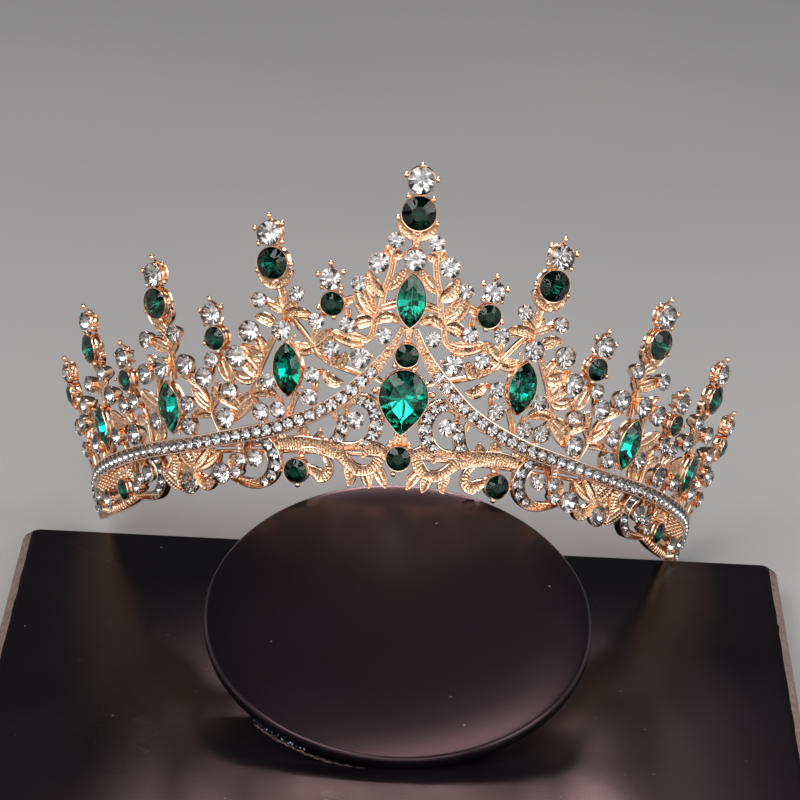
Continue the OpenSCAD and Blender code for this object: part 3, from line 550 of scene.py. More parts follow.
# Stems
# The vines' branches, cast with a groove down the middle so that each shows two bright
# lines. They run from the bands up to the stones and cross where the casting is thickest.
stem_table = [  # width, then the u and v of each point
    (1.7, (4.4, 57.4), (4.8, 53.6), (5.4, 50), (6.4, 46.6), (7, 43), (8.2, 39.4), (8.6, 36.8),
     (9.8, 35.2), (11.8, 34.8), (11.4, 32.4)), (1.4, (2.6, 43.4), (6.8, 42.7)),
    (2.1, (12.4, 44.6), (16.4, 43.2)), (1.6, (8.6, 40.8), (12.2, 43.6), (12.3, 46.6)),
    (1.6, (14.7, 42), (14.6, 38.9), (12.8, 37.2)), (1.4, (17.8, 36.4), (18.2, 33), (17, 29.2)),
    (1.4, (10.6, 27), (17.6, 29), (21, 30.6), (23.2, 33), (22.1, 38.6), (20, 41)),
    (1.6, (22.4, 39.3), (26, 39.8), (29.6, 40.4)), (1.4, (23.4, 33.4), (27.2, 38), (29.8, 40.2)),
    (2.0, (31.8, 49), (30.4, 43.4), (30, 40), (30.6, 37.4)), (1.4, (26.8, 45), (29, 41)),
    (1.4, (36, 43.6), (30.8, 41)),
    (1.7, (32, 37.6), (34.2, 33.6), (36, 30.6), (38.2, 26.8), (39.6, 23.8), (40.4, 21.8), (38.2, 19)),
    (1.4, (39, 36.4), (36.3, 31)), (1.4, (42.6, 30.4), (40.4, 28.6), (38.6, 26.4)),
    (1.4, (20.2, 27.4), (23.2, 26.6), (22.6, 24), (23.8, 21.4), (22.8, 19)),
    (1.6, (23.2, 26.8), (27.4, 26)), (1.7, (27.6, 22.4), (29.2, 19.2), (30.2, 16.2)),
    (1.6, (31.8, 23.4), (34.9, 25.2), (38.4, 26.4)), (1.4, (32.4, 21.4), (32.3, 18.6), (33, 15.4)),
    (1.4, (37.2, 18.2), (37, 14.6)),
    (1.7, (48.4, 34.6), (49, 31.2), (48.8, 27.4), (46.6, 25.4), (44.4, 27)),
    (1.4, (43.2, 30.6), (46.6, 32.6), (48.4, 33.4)),
    (1.6, (50.2, 30.2), (53.2, 26.4), (56.4, 24.6), (58.8, 28.8), (62, 30), (64.6, 29.6)),
    (1.6, (45.8, 22.8), (46.4, 25.6)), (1.6, (46, 22.6), (44.6, 20.2)),
    (1.6, (50, 24.8), (52, 20.4), (52.8, 18.4), (52, 15.8), (50.2, 12.8)),
    (1.4, (52.6, 19), (54, 21.6), (56, 24.4)), (1.6, (59.4, 20.2), (63, 19.6)),
    (1.6, (60.2, 15.4), (64, 16.2)), (1.6, (59.2, 17.2), (60.2, 15.6), (60, 12)),
    (2.3, (65.4, 41.4), (64.4, 36), (64.4, 31.6), (65, 26)), (1.4, (61.2, 36.6), (64.4, 32.6)),
    (1.4, (71, 35.8), (66.6, 35.6), (64.4, 33.4)),
    (1.6, (65.6, 29.4), (73.4, 28.2), (77.8, 27.4), (81.6, 27.2)),
    (1.6, (69.4, 27.4), (70.8, 24), (70.8, 19), (71.8, 16.8), (74.8, 12.2)),
    (1.8, (81.6, 25), (80, 21.8), (77.6, 19.6), (77.2, 15.6), (77.4, 11)),
    (1.6, (80.2, 21.8), (84.8, 21.4), (91.2, 24.2), (96.8, 26.4)),
    (1.6, (84.8, 21.4), (84.6, 17.4), (82.6, 14.4), (81.8, 11)),
    (1.6, (84.4, 17.4), (88.2, 17.6), (92.2, 14.4), (97.2, 14.6)), (1.6, (92, 14.4), (90.6, 10.6)),
    (2.3, (97, 33.4), (96.8, 27), (98.6, 22.4)), (1.6, (93.2, 30), (96.8, 26.8)),
    (1.6, (102.6, 28.2), (99, 25.4)),
    (1.7, (101.6, 19.4), (105, 19.4), (110, 24.2), (117, 20.8), (122.6, 24.6), (126.8, 26.8)),
    (1.6, (98.8, 12.4), (103, 11.4), (107, 14.2), (109.6, 9.2)),
    (1.6, (117, 20.6), (118, 15), (123, 14.8), (121.6, 8)), (1.6, (129, 21.2), (126.6, 26.4)),
    (1.6, (129, 21.2), (129.8, 16.4)), (1.6, (123.4, 14.8), (128.4, 14.4)),
    (1.6, (17.9, 19.6), (17.2, 16.4)), (1.6, (14.4, 17.4), (11.8, 16.9)), (1.7, (2.4, 8.8), (5, 9)),
    (1.6, (30.4, 4.6), (33.6, 5)), (1.6, (24, 5), (26.4, 4.8)), (1.6, (26, 9.4), (27.6, 7.2)),
    (1.7, (44.2, 12.2), (44.2, 7.2), (46.2, 3.8), (48.6, 3.4)), (1.6, (42.4, 8.6), (39.8, 7.4)),
    (1.6, (34, 11.2), (36.4, 13.2)), (1.7, (52.8, 4.6), (55, 6.6)),
    (1.7, (71, 10), (69.6, 7), (72.4, 4.8), (74.4, 4)), (1.7, (88.6, 10), (83.6, 7.6), (79.4, 5)),
    (1.6, (83.4, 7.6), (83.8, 4), (86.6, 2), (88.6, 0.6)), (1.6, (88.4, 5.6), (87, 8.8)),
    (1.8, (94, 5.6), (94, -0.8)), (1.6, (104.6, 5.6), (105.8, 9)), (1.6, (108, 5), (108, -1.4)),
    (1.6, (117, 4.4), (117, -1.2))]
stem_section = [(-1, 0, -2.8, 0), (-1, 0, -2.0, 0), (-0.9, 0, -1.82, 0), (-0.6, 0, -1.76, 0),
                (-0.32, 0, -1.86, 0), (-0.16, 0, -2.06, 1), (0.16, 0, -2.06, 0), (0.32, 0, -1.86, 0),
                (0.6, 0, -1.76, 0), (0.9, 0, -1.82, 0), (1, 0, -2.0, 0), (1, 0, -2.8, 2)]
# Name, u, v and diameter of each round stone that is a piece of its own
round_table = [
    ("top_clear_stone", 0, 72.0, 6.4), ("top_green_stone", 0, 64.7, 8.1),
    ("collar_clear_stone", 0, 54.0, 5.0), ("middle_green_stone", 0, 32.4, 5.5),
    ("bottom_green_stone", 0, 8.8, 5.7),
    ("first_tip_clear", 32.9, 58.7, 5.7), ("first_tip_green", 32.2, 52.1, 7.6),
    ("second_tip_clear", 65.1, 50.5, 5.6), ("second_tip_green", 65.5, 44.0, 7.3),
    ("third_tip_clear", 96.5, 42.5, 5.2), ("third_tip_green", 97.3, 36.4, 7.0),
    ("end_tip_clear", 126.4, 34.4, 4.8), ("end_tip_green", 127.0, 29.2, 5.8),
    ("first_small_green", 18.2, 43.2, 5.5), ("second_small_green", 48.5, 35.1, 5.5),
    ("third_small_green", 81.8, 27.2, 5.1), ("inner_low_green", 27.8, 4.7, 5.7),
    ("outer_low_green", 94.0, 2.1, 5.2)]
small_tip_table = [(18.7, 48.7, 5.1), (49.3, 40.5, 5.2), (81.7, 32.5, 4.9)]
vine_table = [
    (4.4, 58.3, 3.7), (7.9, 53, 4.8), (12.1, 48, 3.6), (14.5, 38.5, 3.8), (5.8, 36.5, 3.6),
    (18.2, 32.9, 3.8), (11.2, 31.1, 4.9), (36.1, 43.6, 3.7), (26.7, 45.1, 3.7), (30.7, 36.8, 4.9),
    (39.1, 36.5, 5.2), (43.2, 30.8, 5.2), (22, 39.1, 3.8), (23.2, 26.8, 3.8), (23.8, 21.7, 3.9),
    (34.8, 25.2, 3.8), (32.4, 18.6, 3.9), (37.3, 18.1, 4.1), (45.9, 22.8, 4.2), (71, 35.9, 4),
    (61.2, 36.7, 3.9), (66.9, 29.1, 5.2), (58.9, 29.4, 5), (73.4, 28, 5), (50.3, 30.2, 3.7),
    (53.2, 26.2, 4.8), (47.9, 16.7, 5.0), (59.6, 20.2, 4), (60.2, 15.1, 4.1), (71.9, 16.8, 4),
    (93.2, 30, 3.9), (102.6, 28.2, 4.4), (91.2, 24.4, 4.8), (79.9, 21.9, 3.9), (84.8, 21.5, 3.9),
    (82.6, 14.4, 5), (92.2, 14.5, 4.4), (110, 24.2, 4.8), (107, 14.2, 4.8), (117, 20.6, 4.4),
    (129, 21.2, 4.4), (123, 14.8, 4.2), (11.8, 16.9, 4), (39.7, 7.3, 3.9), (50.9, 3.9, 5), (62.4, 1.9, 5.2),
    (79.3, 4.8, 4.2), (108, 0.9, 4.8), (117, 2.6, 4)]
seed_table = [(44.2, 7.1, 2.9), (46, 4.2, 2.7), (83.8, 4, 3.2), (86.6, 2, 3)]
berries = small_tip_table + vine_table + seed_table
marquise_table = [("centre_marquise", 0, 44.9, 6.8, 12.9), ("first_marquise", 29.5, 28, 6.9, 12.7),
                  ("second_marquise", 65.8, 19.8, 6.9, 12.4), ("third_marquise", 99, 18, 5.4, 10)]
pear_v, pear_w, pear_up, pear_down = 22.6, 11.6, 6.8, 8.9
dip_most = 1.25
dips = [(u, v, d / 2, d / 2) for u, v, d in [row[1:] for row in round_table] + berries]
dips += [(u, v, w / 2, h / 2) for name, u, v, w, h in marquise_table]
dips += [(0, pear_v, pear_w / 2, pear_up)]


def dip(u, v):
    """How far metal sinks where it passes under a stone, so that it clears the stone's point."""
    depth = np.zeros(np.broadcast(u, v).shape)
    for stone_u, stone_v, across, up in dips:
        away = ((np.abs(u) - stone_u) / across) ** 2 + ((v - stone_v) / up) ** 2
        depth = np.maximum(depth, dip_most * np.clip(1 - away, 0, 1))
    return depth


def sides_of(u):
    """A stone off the middle line is made left and right, and one on it only once."""
    return ((-1, "_left"), (1, "_right")) if u else ((1, ""),)


stems = Blank()
for side in (-1, 1):
    for stem_w, *points in stem_table:
        line = smooth([(u, v, stem_w) for u, v in points], step=0.6)
        ribbon(stems, line, stem_section, side, -dip(line[:, 0], line[:, 1]))
make_piece("vine_stems", stems, gold, ["gold_frame"])


# Leaves
# Small acanthus leaves cast with the stems, each with a polished raised edge and rib round
# two grained fields. Their tips curl a little forward, so each catches the light differently.
leaf_table = [  # u and v of the base, u and v of the tip, width, bend
    (5.8, 47.3, 2, 51.8, 2.9, 0.1), (6.4, 45.6, 10.2, 51, 3.8, -0.15), (8.6, 41.5, 11.2, 46.8, 2.2, 0.05),
    (9, 40.6, 12.8, 46.9, 3.5, -0.12), (8.2, 39, 2.1, 39.4, 2.7, -0.25), (8.4, 39.3, 13.6, 37.6, 3.2, 0.15),
    (9.4, 35.2, 18.6, 36.8, 3.5, -0.1), (4.8, 54.2, 6.9, 56.6, 2.2, 0), (4.8, 54.6, 2.7, 55.3, 2.2, 0),
    (17.4, 28.9, 15.2, 32.3, 2.9, 0.15), (17.2, 29, 21, 31.4, 2.4, 0), (17.5, 28.4, 18, 32.6, 2.6, 0),
    (20.2, 27.6, 15.3, 25.3, 2.9, 0.2), (23.2, 32.8, 18.5, 37.4, 4.5, 0.1), (22.6, 33.2, 28, 34, 3.2, -0.2),
    (30.8, 39.8, 26.6, 44.2, 2.6, 0), (30.8, 39.8, 23.4, 40.4, 2.6, -0.1), (29.8, 40.4, 35.2, 43.2, 2.2, 0),
    (30, 40.4, 31.8, 44.4, 2.6, 0), (32.6, 37.4, 37.6, 39.7, 3.0, 0.15), (35.8, 30.8, 42, 33.6, 4.2, -0.15),
    (36.2, 30.6, 38.4, 35.6, 2.9, 0.1), (38.2, 26.8, 40, 29.6, 2.9, 0.1), (38, 26.2, 42.4, 30.4, 3.2, 0),
    (38.6, 25.8, 44.6, 27.4, 3.0, -0.15), (40.6, 21.8, 32.8, 21.2, 3.0, -0.15),
    (39.6, 21.4, 46.3, 15.6, 4.8, 0.1), (43.6, 18.6, 50.5, 21.6, 3.0, 0.1),
    (46.6, 25.6, 48.3, 30.6, 3.5, 0), (52.6, 19.2, 51.2, 24, 2.7, 0.1), (52.5, 18.8, 57.8, 24, 2.7, -0.1),
    (55.4, 23.6, 61.4, 26.6, 2.7, 0.15), (52, 17.2, 59, 17.2, 2.9, 0.12), (64.4, 32, 61, 35.6, 2.7, 0),
    (64.4, 33, 70.2, 35.6, 3.0, 0), (64.4, 36.2, 67.6, 38.6, 2.9, 0.2), (69, 29.2, 72.4, 32.3, 2.7, -0.1),
    (70.6, 19.8, 77, 24.6, 4.2, -0.1), (77.2, 16.4, 80.8, 18, 2.9, 0.1), (74.6, 11.8, 70.2, 16.2, 2.9, 0.1),
    (84.8, 17.2, 88.6, 20.4, 2.9, 0.1), (88.4, 17.4, 94.6, 21, 3.5, -0.1), (96.8, 26.6, 93.4, 29.4, 2.6, 0),
    (96.8, 26.6, 101.6, 27.8, 2.6, 0), (103.6, 11.4, 112.2, 17.6, 3.8, -0.12),
    (104.4, 19.4, 109.4, 21.8, 2.9, 0.1), (114.6, 8.2, 119, 17, 3.5, 0.1),
    (121, 9.6, 129.6, 16.6, 3.8, -0.1), (127.6, 5.6, 132.6, 13, 3.5, 0.1), (46.5, 8, 48, 5, 2.6, 0.1),
    (6.6, 6.2, 3, 1.7, 3.2, -0.1), (9.4, 5.8, 7.4, 1.4, 3.5, -0.05), (13.6, 7.2, 13.2, 1.6, 3.8, -0.12),
    (23.2, 10.8, 21.2, 14, 3.0, 0.15), (27.2, 11, 25.9, 15, 3.6, 0.1), (31.4, 10.6, 33, 13.4, 2.7, 0),
    (53.4, 6.4, 50.3, 9, 2.3, 0), (54.6, 6.8, 53.6, 10.2, 2.5, 0), (58, 7, 58.8, 10.4, 2.6, 0),
    (61.6, 6.4, 64.2, 9.6, 2.5, 0), (63.4, 5, 68, 8.2, 2.9, 0), (66.2, 1, 73.6, 4.8, 3.1, 0.1),
    (71.6, 3.6, 73.8, 7.8, 1.8, 0)]
fan_leaves = [
    (61.0, 5.5, 50.8, 8.7, 2.6, 0.08), (60.2, 5.4, 53.6, 10.0, 2.6, 0.05), (60.4, 5.8, 57.2, 10.2, 2.8, 0),
    (60.8, 6.0, 61.6, 10.2, 2.8, 0), (61.2, 5.8, 64.6, 9.6, 2.8, 0), (68.4, 2.6, 66.8, 9.5, 3.2, 0.08),
    (67.4, 0.7, 73.2, 6.0, 3.2, -0.05), (66.4, -0.2, 66.8, 4.2, 1.8, 0), (99.4, 2.2, 95.6, 7.4, 2.8, 0.1),
    (88.6, 3.4, 90.6, 7.6, 2.4, 0.1)]
leaf_section = [(-1.0, -0.75, 0), (-1.0, -0.16, 0), (-0.88, -0.02, 0), (-0.7, -0.05, 1), (-0.56, -0.2, 1),
                (-0.16, -0.2, 0), (0.0, -0.03, 0), (0.16, -0.2, 1), (0.56, -0.2, 1), (0.7, -0.05, 0),
                (0.88, -0.02, 0), (1.0, -0.16, 0), (1.0, -0.75, 2)]
leaf_depth, leaf_curl, leaf_step, barred_step = -1.75, 0.45, 0.2, 0.12
curl_swing, curl_change, dish_swing, dish_change = 0.2, 2.4, 0.28, 1.7
belly_power, taper_power, belly, foot_share, tip_share = 0.55, 0.7, 0.42, 0.28, 0.03
fan_lift, fan_bars = 0.55, 0.17
low_leaf_v, tip_bead_depth, tip_bead_r = 16, -1.45, 0.42


def leaf(blank, side, row, number, lift=0.0, bars=0.025, barred=False):
    """Casts one leaf from its base to its tip, bent to one side; a barred one has polished fields."""
    u, v, tip_u, tip_v, width, bend = row
    base = np.array([u, v])
    way = np.array([tip_u - u, tip_v - v])
    length = np.linalg.norm(way)
    t = np.linspace(0, 1, int(length / (barred_step if barred else leaf_step)) + 6)
    sideways = np.array([-way[1], way[0]])
    middle = base + way * t[:, None] + sideways * bend * (4 * t * (1 - t))[:, None]
    along = np.gradient(middle, axis=0)
    across = np.stack([-along[:, 1], along[:, 0]], -1) / np.linalg.norm(along, axis=1)[:, None]
    shape = np.maximum(t ** belly_power * (1 - t) ** taper_power / belly, foot_share * (1 - t))
    half = width / 2 * np.clip(shape, tip_share, 1.0)
    curl = leaf_depth + (leaf_curl + curl_swing * math.sin(number * curl_change)) * np.sin(t * math.pi / 2)
    curl = curl - dip(middle[:, 0], middle[:, 1])
    dish = dish_swing * math.sin(number * dish_change)
    hatch = lift + bars * np.sin(2 * math.pi * length * t / hatch_pitch)
    columns = []
    for share, depth, finish in leaf_section:
        spot = middle + across * (half * share)[:, None]
        raised = hatch if hatched_from < abs(share) < hatched_to else lift
        columns.append(wall(side * spot[:, 0], spot[:, 1], curl + depth + dish * half * abs(share) + raised))
    finishes = [0 if barred and finish == 1 else finish for share, depth, finish in leaf_section]
    blank.skin(np.stack(columns, 1), np.array(finishes))


leaves = Blank()
for side in (-1, 1):
    for number, row in enumerate(leaf_table):
        leaf(leaves, side, row, number)
        if row[1] < low_leaf_v:
            bead(leaves, side * row[2], row[3], tip_bead_depth, tip_bead_r, 10)
    for number, row in enumerate(fan_leaves):
        leaf(leaves, side, row, number, fan_lift, fan_bars, barred=True)
make_piece("leaves", leaves, gold, ["gold_frame"])


# Cups and bezels
# Stamped cups soldered on the casting, one for each stone. The clear stones' cups end under
# the girdle, the green ones' have a thin bright rim that is burnished over the stone's edge.
open_cup = [(0.66, 0, -3.3), (0.84, 0.02, -2.5), (0.96, 0.06, -1.6), (1, 0.12, -0.8), (1, 0.13, -0.56),
            (1, 0.06, -0.47), (1, -0.03, -0.56), (0.95, 0, -0.95), (0.6, 0, -3.2)]
rimmed_cup = [(0.75, 0, -3.4), (0.92, 0.05, -3.35), (0.96, 0.28, -3.05), (0.94, 0.05, -2.75),
              (0.96, 0.02, -2.1), (1, 0.05, -1.75), (1, 0.32, -1.45), (1, 0.12, -1.15), (1, 0.3, -0.65),
              (1, 0.32, -0.35), (1, 0.22, -0.18), (1, 0.1, -0.2), (1, 0.02, -0.42), (0.95, 0, -1.0),
              (0.6, 0, -3.2)]
tip_cup = [(0.8, 0, -3.4), (0.97, 0.05, -3.35), (1, 0.28, -3.05), (0.98, 0.02, -2.75), (0.98, 0.0, -2.1),
           (1, 0.05, -1.8), (1, 0.3, -1.5), (1, 0.08, -1.2), (1, 0.1, -0.7), (1, 0.16, -0.55),
           (1, 0.04, -0.47), (0.95, 0, -0.95), (0.6, 0, -3.2)]
berry_inset = 0.1  # how much smaller a berry's cup is than its stone
round_sides, berry_sides, marquise_sides, pear_sides = 28, 22, 40, 48


def round_outline(d):
    """The outline of a round stone, for a share of the way round and a growth."""
    return lambda share, grow: np.stack([(d / 2 + grow) * np.cos(2 * math.pi * share),
                                         (d / 2 + grow) * np.sin(2 * math.pi * share)], -1)


def marquise_outline(width, height):
    """The outline of a marquise, two arcs that meet in points above and below."""
    point_growth = 1.5

    def outline(share, grow):
        w, h = width + 2 * grow, height + 2 * point_growth * grow
        radius = (h * h + w * w) / (4 * w)
        reach = math.asin(h / 2 / radius)
        on_right = np.cos(2 * math.pi * share) > -1e-9
        swing = np.where(on_right, (share + 0.25) % 1 - 0.25, share - 0.5) / 0.25 * reach
        flip = np.where(on_right, 1, -1)
        across = flip * (radius * np.cos(swing) - radius + w / 2)
        return np.stack([across, flip * radius * np.sin(swing)], -1)
    return outline


def pear_outline(share, grow):
    """The outline of the pear: half an oval above its widest row and a point below it."""
    tail_power, point_growth = 1.7, 1.3
    w = pear_w / 2 + grow
    turn = 2 * math.pi * share
    way_down = np.where(share < 0.75, share - 0.5, 1 - share) / 0.25
    tail = np.sign(share - 0.75) * w * (1 - np.clip(way_down, 0, 1) ** tail_power)
    upper = np.stack([w * np.cos(turn), (pear_up + grow) * np.sin(turn)], -1)
    lower = np.stack([tail, -(pear_down + point_growth * grow) * way_down], -1)
    return np.where((share <= 0.5)[..., None], upper, lower)


def cup(blank, u, v, outline, profile, sides):
    """Solders a cup on the wall: profile rows are share of the outline, growth and depth."""
    share = np.arange(sides) / sides
    rings = [np.concatenate([outline(share, grow) * size, np.full((sides, 1), depth)], 1)
             for size, grow, depth in profile]
    blank.skin(on_wall(u, v, np.stack(rings)))


cups = Blank()
for name, u, v, d in round_table:
    for side, word in sides_of(u):
        cup(cups, side * u, v, round_outline(d), tip_cup if "clear" in name else rimmed_cup, round_sides)
for name, u, v, w, h in marquise_table:
    for side, word in sides_of(u):
        cup(cups, side * u, v, marquise_outline(w, h), rimmed_cup, marquise_sides)
cup(cups, 0, pear_v, pear_outline, rimmed_cup, pear_sides)
for side in (-1, 1):
    for u, v, d in berries:
        cup(cups, side * u, v, round_outline(d - berry_inset), open_cup, berry_sides)
make_piece("stone_cups", cups, gold, ["gold_frame"])


# Ball prongs
# Wires melted to a ball at the end and soldered round the stones of the tips and the low
# green ones. They stand a little clear of the stones and give the tips their spiky outline.
ball_r, ball_depth, loose_depth = 0.72, -0.95, -1.2
prong_low, prong_high, prong_inset, prong_bow = -3.3, -1.05, 0.3, 1.4
prong_profile = [(0.38, 0), (0.4, 0.3), (0.35, 0.7), (0.38, 1)]
ball_sets = {  # for each kind of stone, the balls' directions in degrees and distances past its edge
    "top_clear": [(91, 0.35), (164, 0.7), (7, 0.6)],
    "top_green": [(197, 1.05), (-27, 0.95), (126, 0.7), (47, 0.65)],
    "middle_green": [(225, 1.1), (-57, 1.05)],
    "bottom_green": [(-103, 1.2), (130, 0.9), (49, 0.8)],
    "tip_clear": [(93, 1.5), (146, 1.35), (20, 1.0), (211, 1.0), (-40, 0.8)],
    "tip_green": [(184, 0.8), (-23, 0.75), (-98, 0.55)],
    "small_green": [(-95, 0.55), (-19, 0.85)],
    "low_green": [(-93, 0.6), (113, 1.0)]}
small_tip_balls = [(90, 1.2), (151, 1.0), (18, 0.7), (221, 0.8), (-46, 0.3)]
loose_balls = [(13.4, 33.3, 0.5), (14.1, 31.0, 0.45), (8.4, 31.6, 0.4), (7.3, 23.8, 0.85), (1.9, 51.75, 0.5),
               (2.5, 29.65, 0.6), (1.2, 14.2, 0.5), (2.6, 12.2, 0.5), (37.8, 26.0, 0.45), (27.4, 35.4, 0.4),
               (28.4, 34.8, 0.4), (26.4, 22.4, 0.4), (25.8, 23.8, 0.4), (33.4, 22.2, 0.4), (64.2, 13.4, 0.4),
               (57.4, 22.0, 0.4), (87.4, 27.8, 0.45), (104.6, 22.4, 0.45)]


def ball_prongs(blank, u, v, d, stands, side):
    """Stands ball-ended wires round a stone: stands gives their direction and how far out they are."""
    for angle, beyond in stands:
        turn = math.radians(angle)
        out = np.array([side * math.cos(turn), math.sin(turn), 0])
        root, top = out * (d / 2 - prong_inset), out * (d / 2 + beyond)
        wire = lathe(prong_profile, 8)
        height = wire[..., 2:]
        wire = np.concatenate([wire[..., :2], 0 * height], -1) + root + (top - root) * height ** prong_bow
        wire[..., 2:] += prong_low + (prong_high - prong_low) * height
        blank.skin(on_wall(u, v, wire))
        blank.skin(on_wall(u, v, ball(ball_r) + top + np.array([0, 0, ball_depth])))


prongs = Blank()
for name, u, v, d in round_table:
    stands = [stand for kind, balls in ball_sets.items() if kind in name for stand in balls]
    for side, word in sides_of(u):
        ball_prongs(prongs, side * u, v, d, stands, side)
for side in (-1, 1):
    for u, v, d in small_tip_table:
        ball_prongs(prongs, side * u, v, d, small_tip_balls, side)
    for u, v, radius in loose_balls:
        bead(prongs, side * u, v, loose_depth, radius)
make_piece("ball_prongs", prongs, gold, ["gold_frame"])


# Middle ornament
# The column of waisted mounts behind the middle stones, cast in one with short side arms by
# the pear and the marquise. Crescents with a ball below hold the top and tip green stones.
mount_section = [(-1, 0, -2.8, 0), (-1, 0, -1.7, 0), (-0.75, 0, -1.45, 0), (-0.35, 0, -1.55, 1),
                 (0.35, 0, -1.55, 0), (0.75, 0, -1.45, 0), (1, 0, -1.7, 0), (1, 0, -2.8, 2)]
mounts = [
    [(0, 62, 3.2), (0, 59.6, 2.2), (0, 57, 1.7), (0, 54, 1.6), (0, 50, 2.4)],
    [(0, 39, 2.6), (0, 36.2, 1.6), (0, 34, 1.8), (0, 28, 2.2)],
    [(0, 15.4, 1.6), (0, 13.4, 3.4), (0, 11.5, 4.4), (0, 8, 3.0)]]
arms = [[(5.4, 23.8, 1.3), (7.2, 23.8, 1.1)], [(4.6, 25.6, 1.3), (6.6, 26.2, 1.2), (8.4, 27.8, 1.4)],
        [(3.2, 43.6, 0.9), (6.2, 42.8, 0.9)], [(3.3, 44.6, 0.7), (6.2, 43.7, 0.7)]]
mount_balls = [(57.2, 0.8), (14.8, 0.55), (36.2, 0.55)]
mount_dip, mount_ball_depth = 1.2, -1.3
# Angle below the stone, distance past its edge and width, for a stone of the lobe's own size
crescent_lobe = [(24, 0.55, 0.4), (34, 0.85, 1.2), (55, 1.15, 1.9), (75, 1.3, 2.4), (90, 1.3, 2.5)]
lobe_stone_d, lobe_lift, lobe_hatch = 8.0, -0.15, 0.07
drop_share, drop_ball_share, drop_depth = 0.6, 0.08, -1.0
middle = Blank()
for line in mounts:
    line = smooth(line, step=0.4)
    ribbon(middle, line, mount_section, 1, -mount_dip * dip(line[:, 0], line[:, 1]))
for v, radius in mount_balls:
    bead(middle, 0, v, mount_ball_depth, radius)
for side in (-1, 1):
    for line in arms:
        ribbon(middle, smooth(line, step=0.4), mount_section, side)
for name, u, v, d in [row for row in round_table if "top_green" in row[0] or "tip_green" in row[0]]:
    scale = d / lobe_stone_d
    for side, word in sides_of(u):
        for half in (-1, 1):
            line = []
            for angle, beyond, lobe_w in crescent_lobe:
                turn = math.radians(angle)
                reach = d / 2 + beyond * scale
                line.append((u + half * reach * math.cos(turn), v - reach * math.sin(turn), lobe_w * scale))
            ribbon(middle, smooth(line, step=0.2), grained_section, side, lobe_lift, ripple=lobe_hatch)
        bead(middle, side * u, v - drop_share * d, drop_depth, drop_ball_share * d)
make_piece("middle_and_tip_mounts", middle, gold, ["gold_frame"])


# Hoop wires
# Two round wires soldered along the back of the ornament to make it stiff and to hold it on
# the head. Short tabs join them to the casting.
hoop_heights, hoop_end, hoop_steps, hoop_wire_d, hoop_depth = (8.6, 10.0), 130, 180, 0.9, -3.9
tab_places, tab_v = (-130, -104, -60, 60, 104, 130), 9.3
tab_profile = [(0.3, -4.3), (0.75, -4.1), (0.8, -3.6), (0.6, -3.0), (0.75, -1.6)]
tab_stretch = np.array([0.8, 1.5, 1])
wire_section = [(math.cos(a), 0, hoop_depth + hoop_wire_d / 2 * math.sin(a), 0)
                for a in np.radians(np.arange(0, 360, 36))]
hoops = Blank()
for wire_v in hoop_heights:
    line = np.array([(u, wire_v, hoop_wire_d) for u in np.linspace(-hoop_end, hoop_end, hoop_steps)])
    ribbon(hoops, line, wire_section)
for u in tab_places:
    hoops.skin(on_wall(u, tab_v, lathe(tab_profile, 12) * tab_stretch))
make_piece("hoop_wires", hoops, gold, ["gold_frame"])


# Clear stones
# Machine-cut glass chatons with silver foil on the back. Each has a flat table, a ring of
# crown facets and a pointed pavilion, and is glued and pressed into its cup.
def crystal_glass(name, tint, ior):
    """Polished lead glass: it shows the foil behind and sharp glints, and a tint deepens with each
    reflection. Its faint film of handling is drawn coarse enough to show."""
    film_size, film_rough = 3.0, 0.015
    material, tree, place = new_material(name)
    film = add_node(tree, "ShaderNodeTexNoise",
                    {"Vector": place, "Scale": 1 / (film_size * MM), "Detail": 2.0})
    gloss = add_node(tree, "ShaderNodeMapRange", {"Value": film.outputs["Fac"], "To Min": 0.0,
                                                  "To Max": film_rough})
    finish_material(tree, {"Base Color": srgb(tint), "Roughness": gloss.outputs["Result"], "IOR": ior,
                           "Transmission Weight": 1.0})
    return material


def silver_foil(name, deep, pale):
    """Silver foil on the back facets: it mirrors the light and dark of the room in hard wedges. Its shadowed
    copy is dark foil, a painted shade on some facets.
    """
    patch_size = 1.5
    material, tree, place = new_material(name)
    patch = add_node(tree, "ShaderNodeTexNoise",
                     {"Vector": place, "Scale": 1 / (patch_size * MM), "Detail": 2.0})
    tint = add_node(tree, "ShaderNodeValToRGB", {"Fac": patch.outputs["Fac"]},
                    ramp=[(0.3, srgb(deep)), (0.7, srgb(pale))])
    finish_material(tree, {"Base Color": tint.outputs["Color"], "Metallic": 0.85, "Roughness": 0.06})
    return material


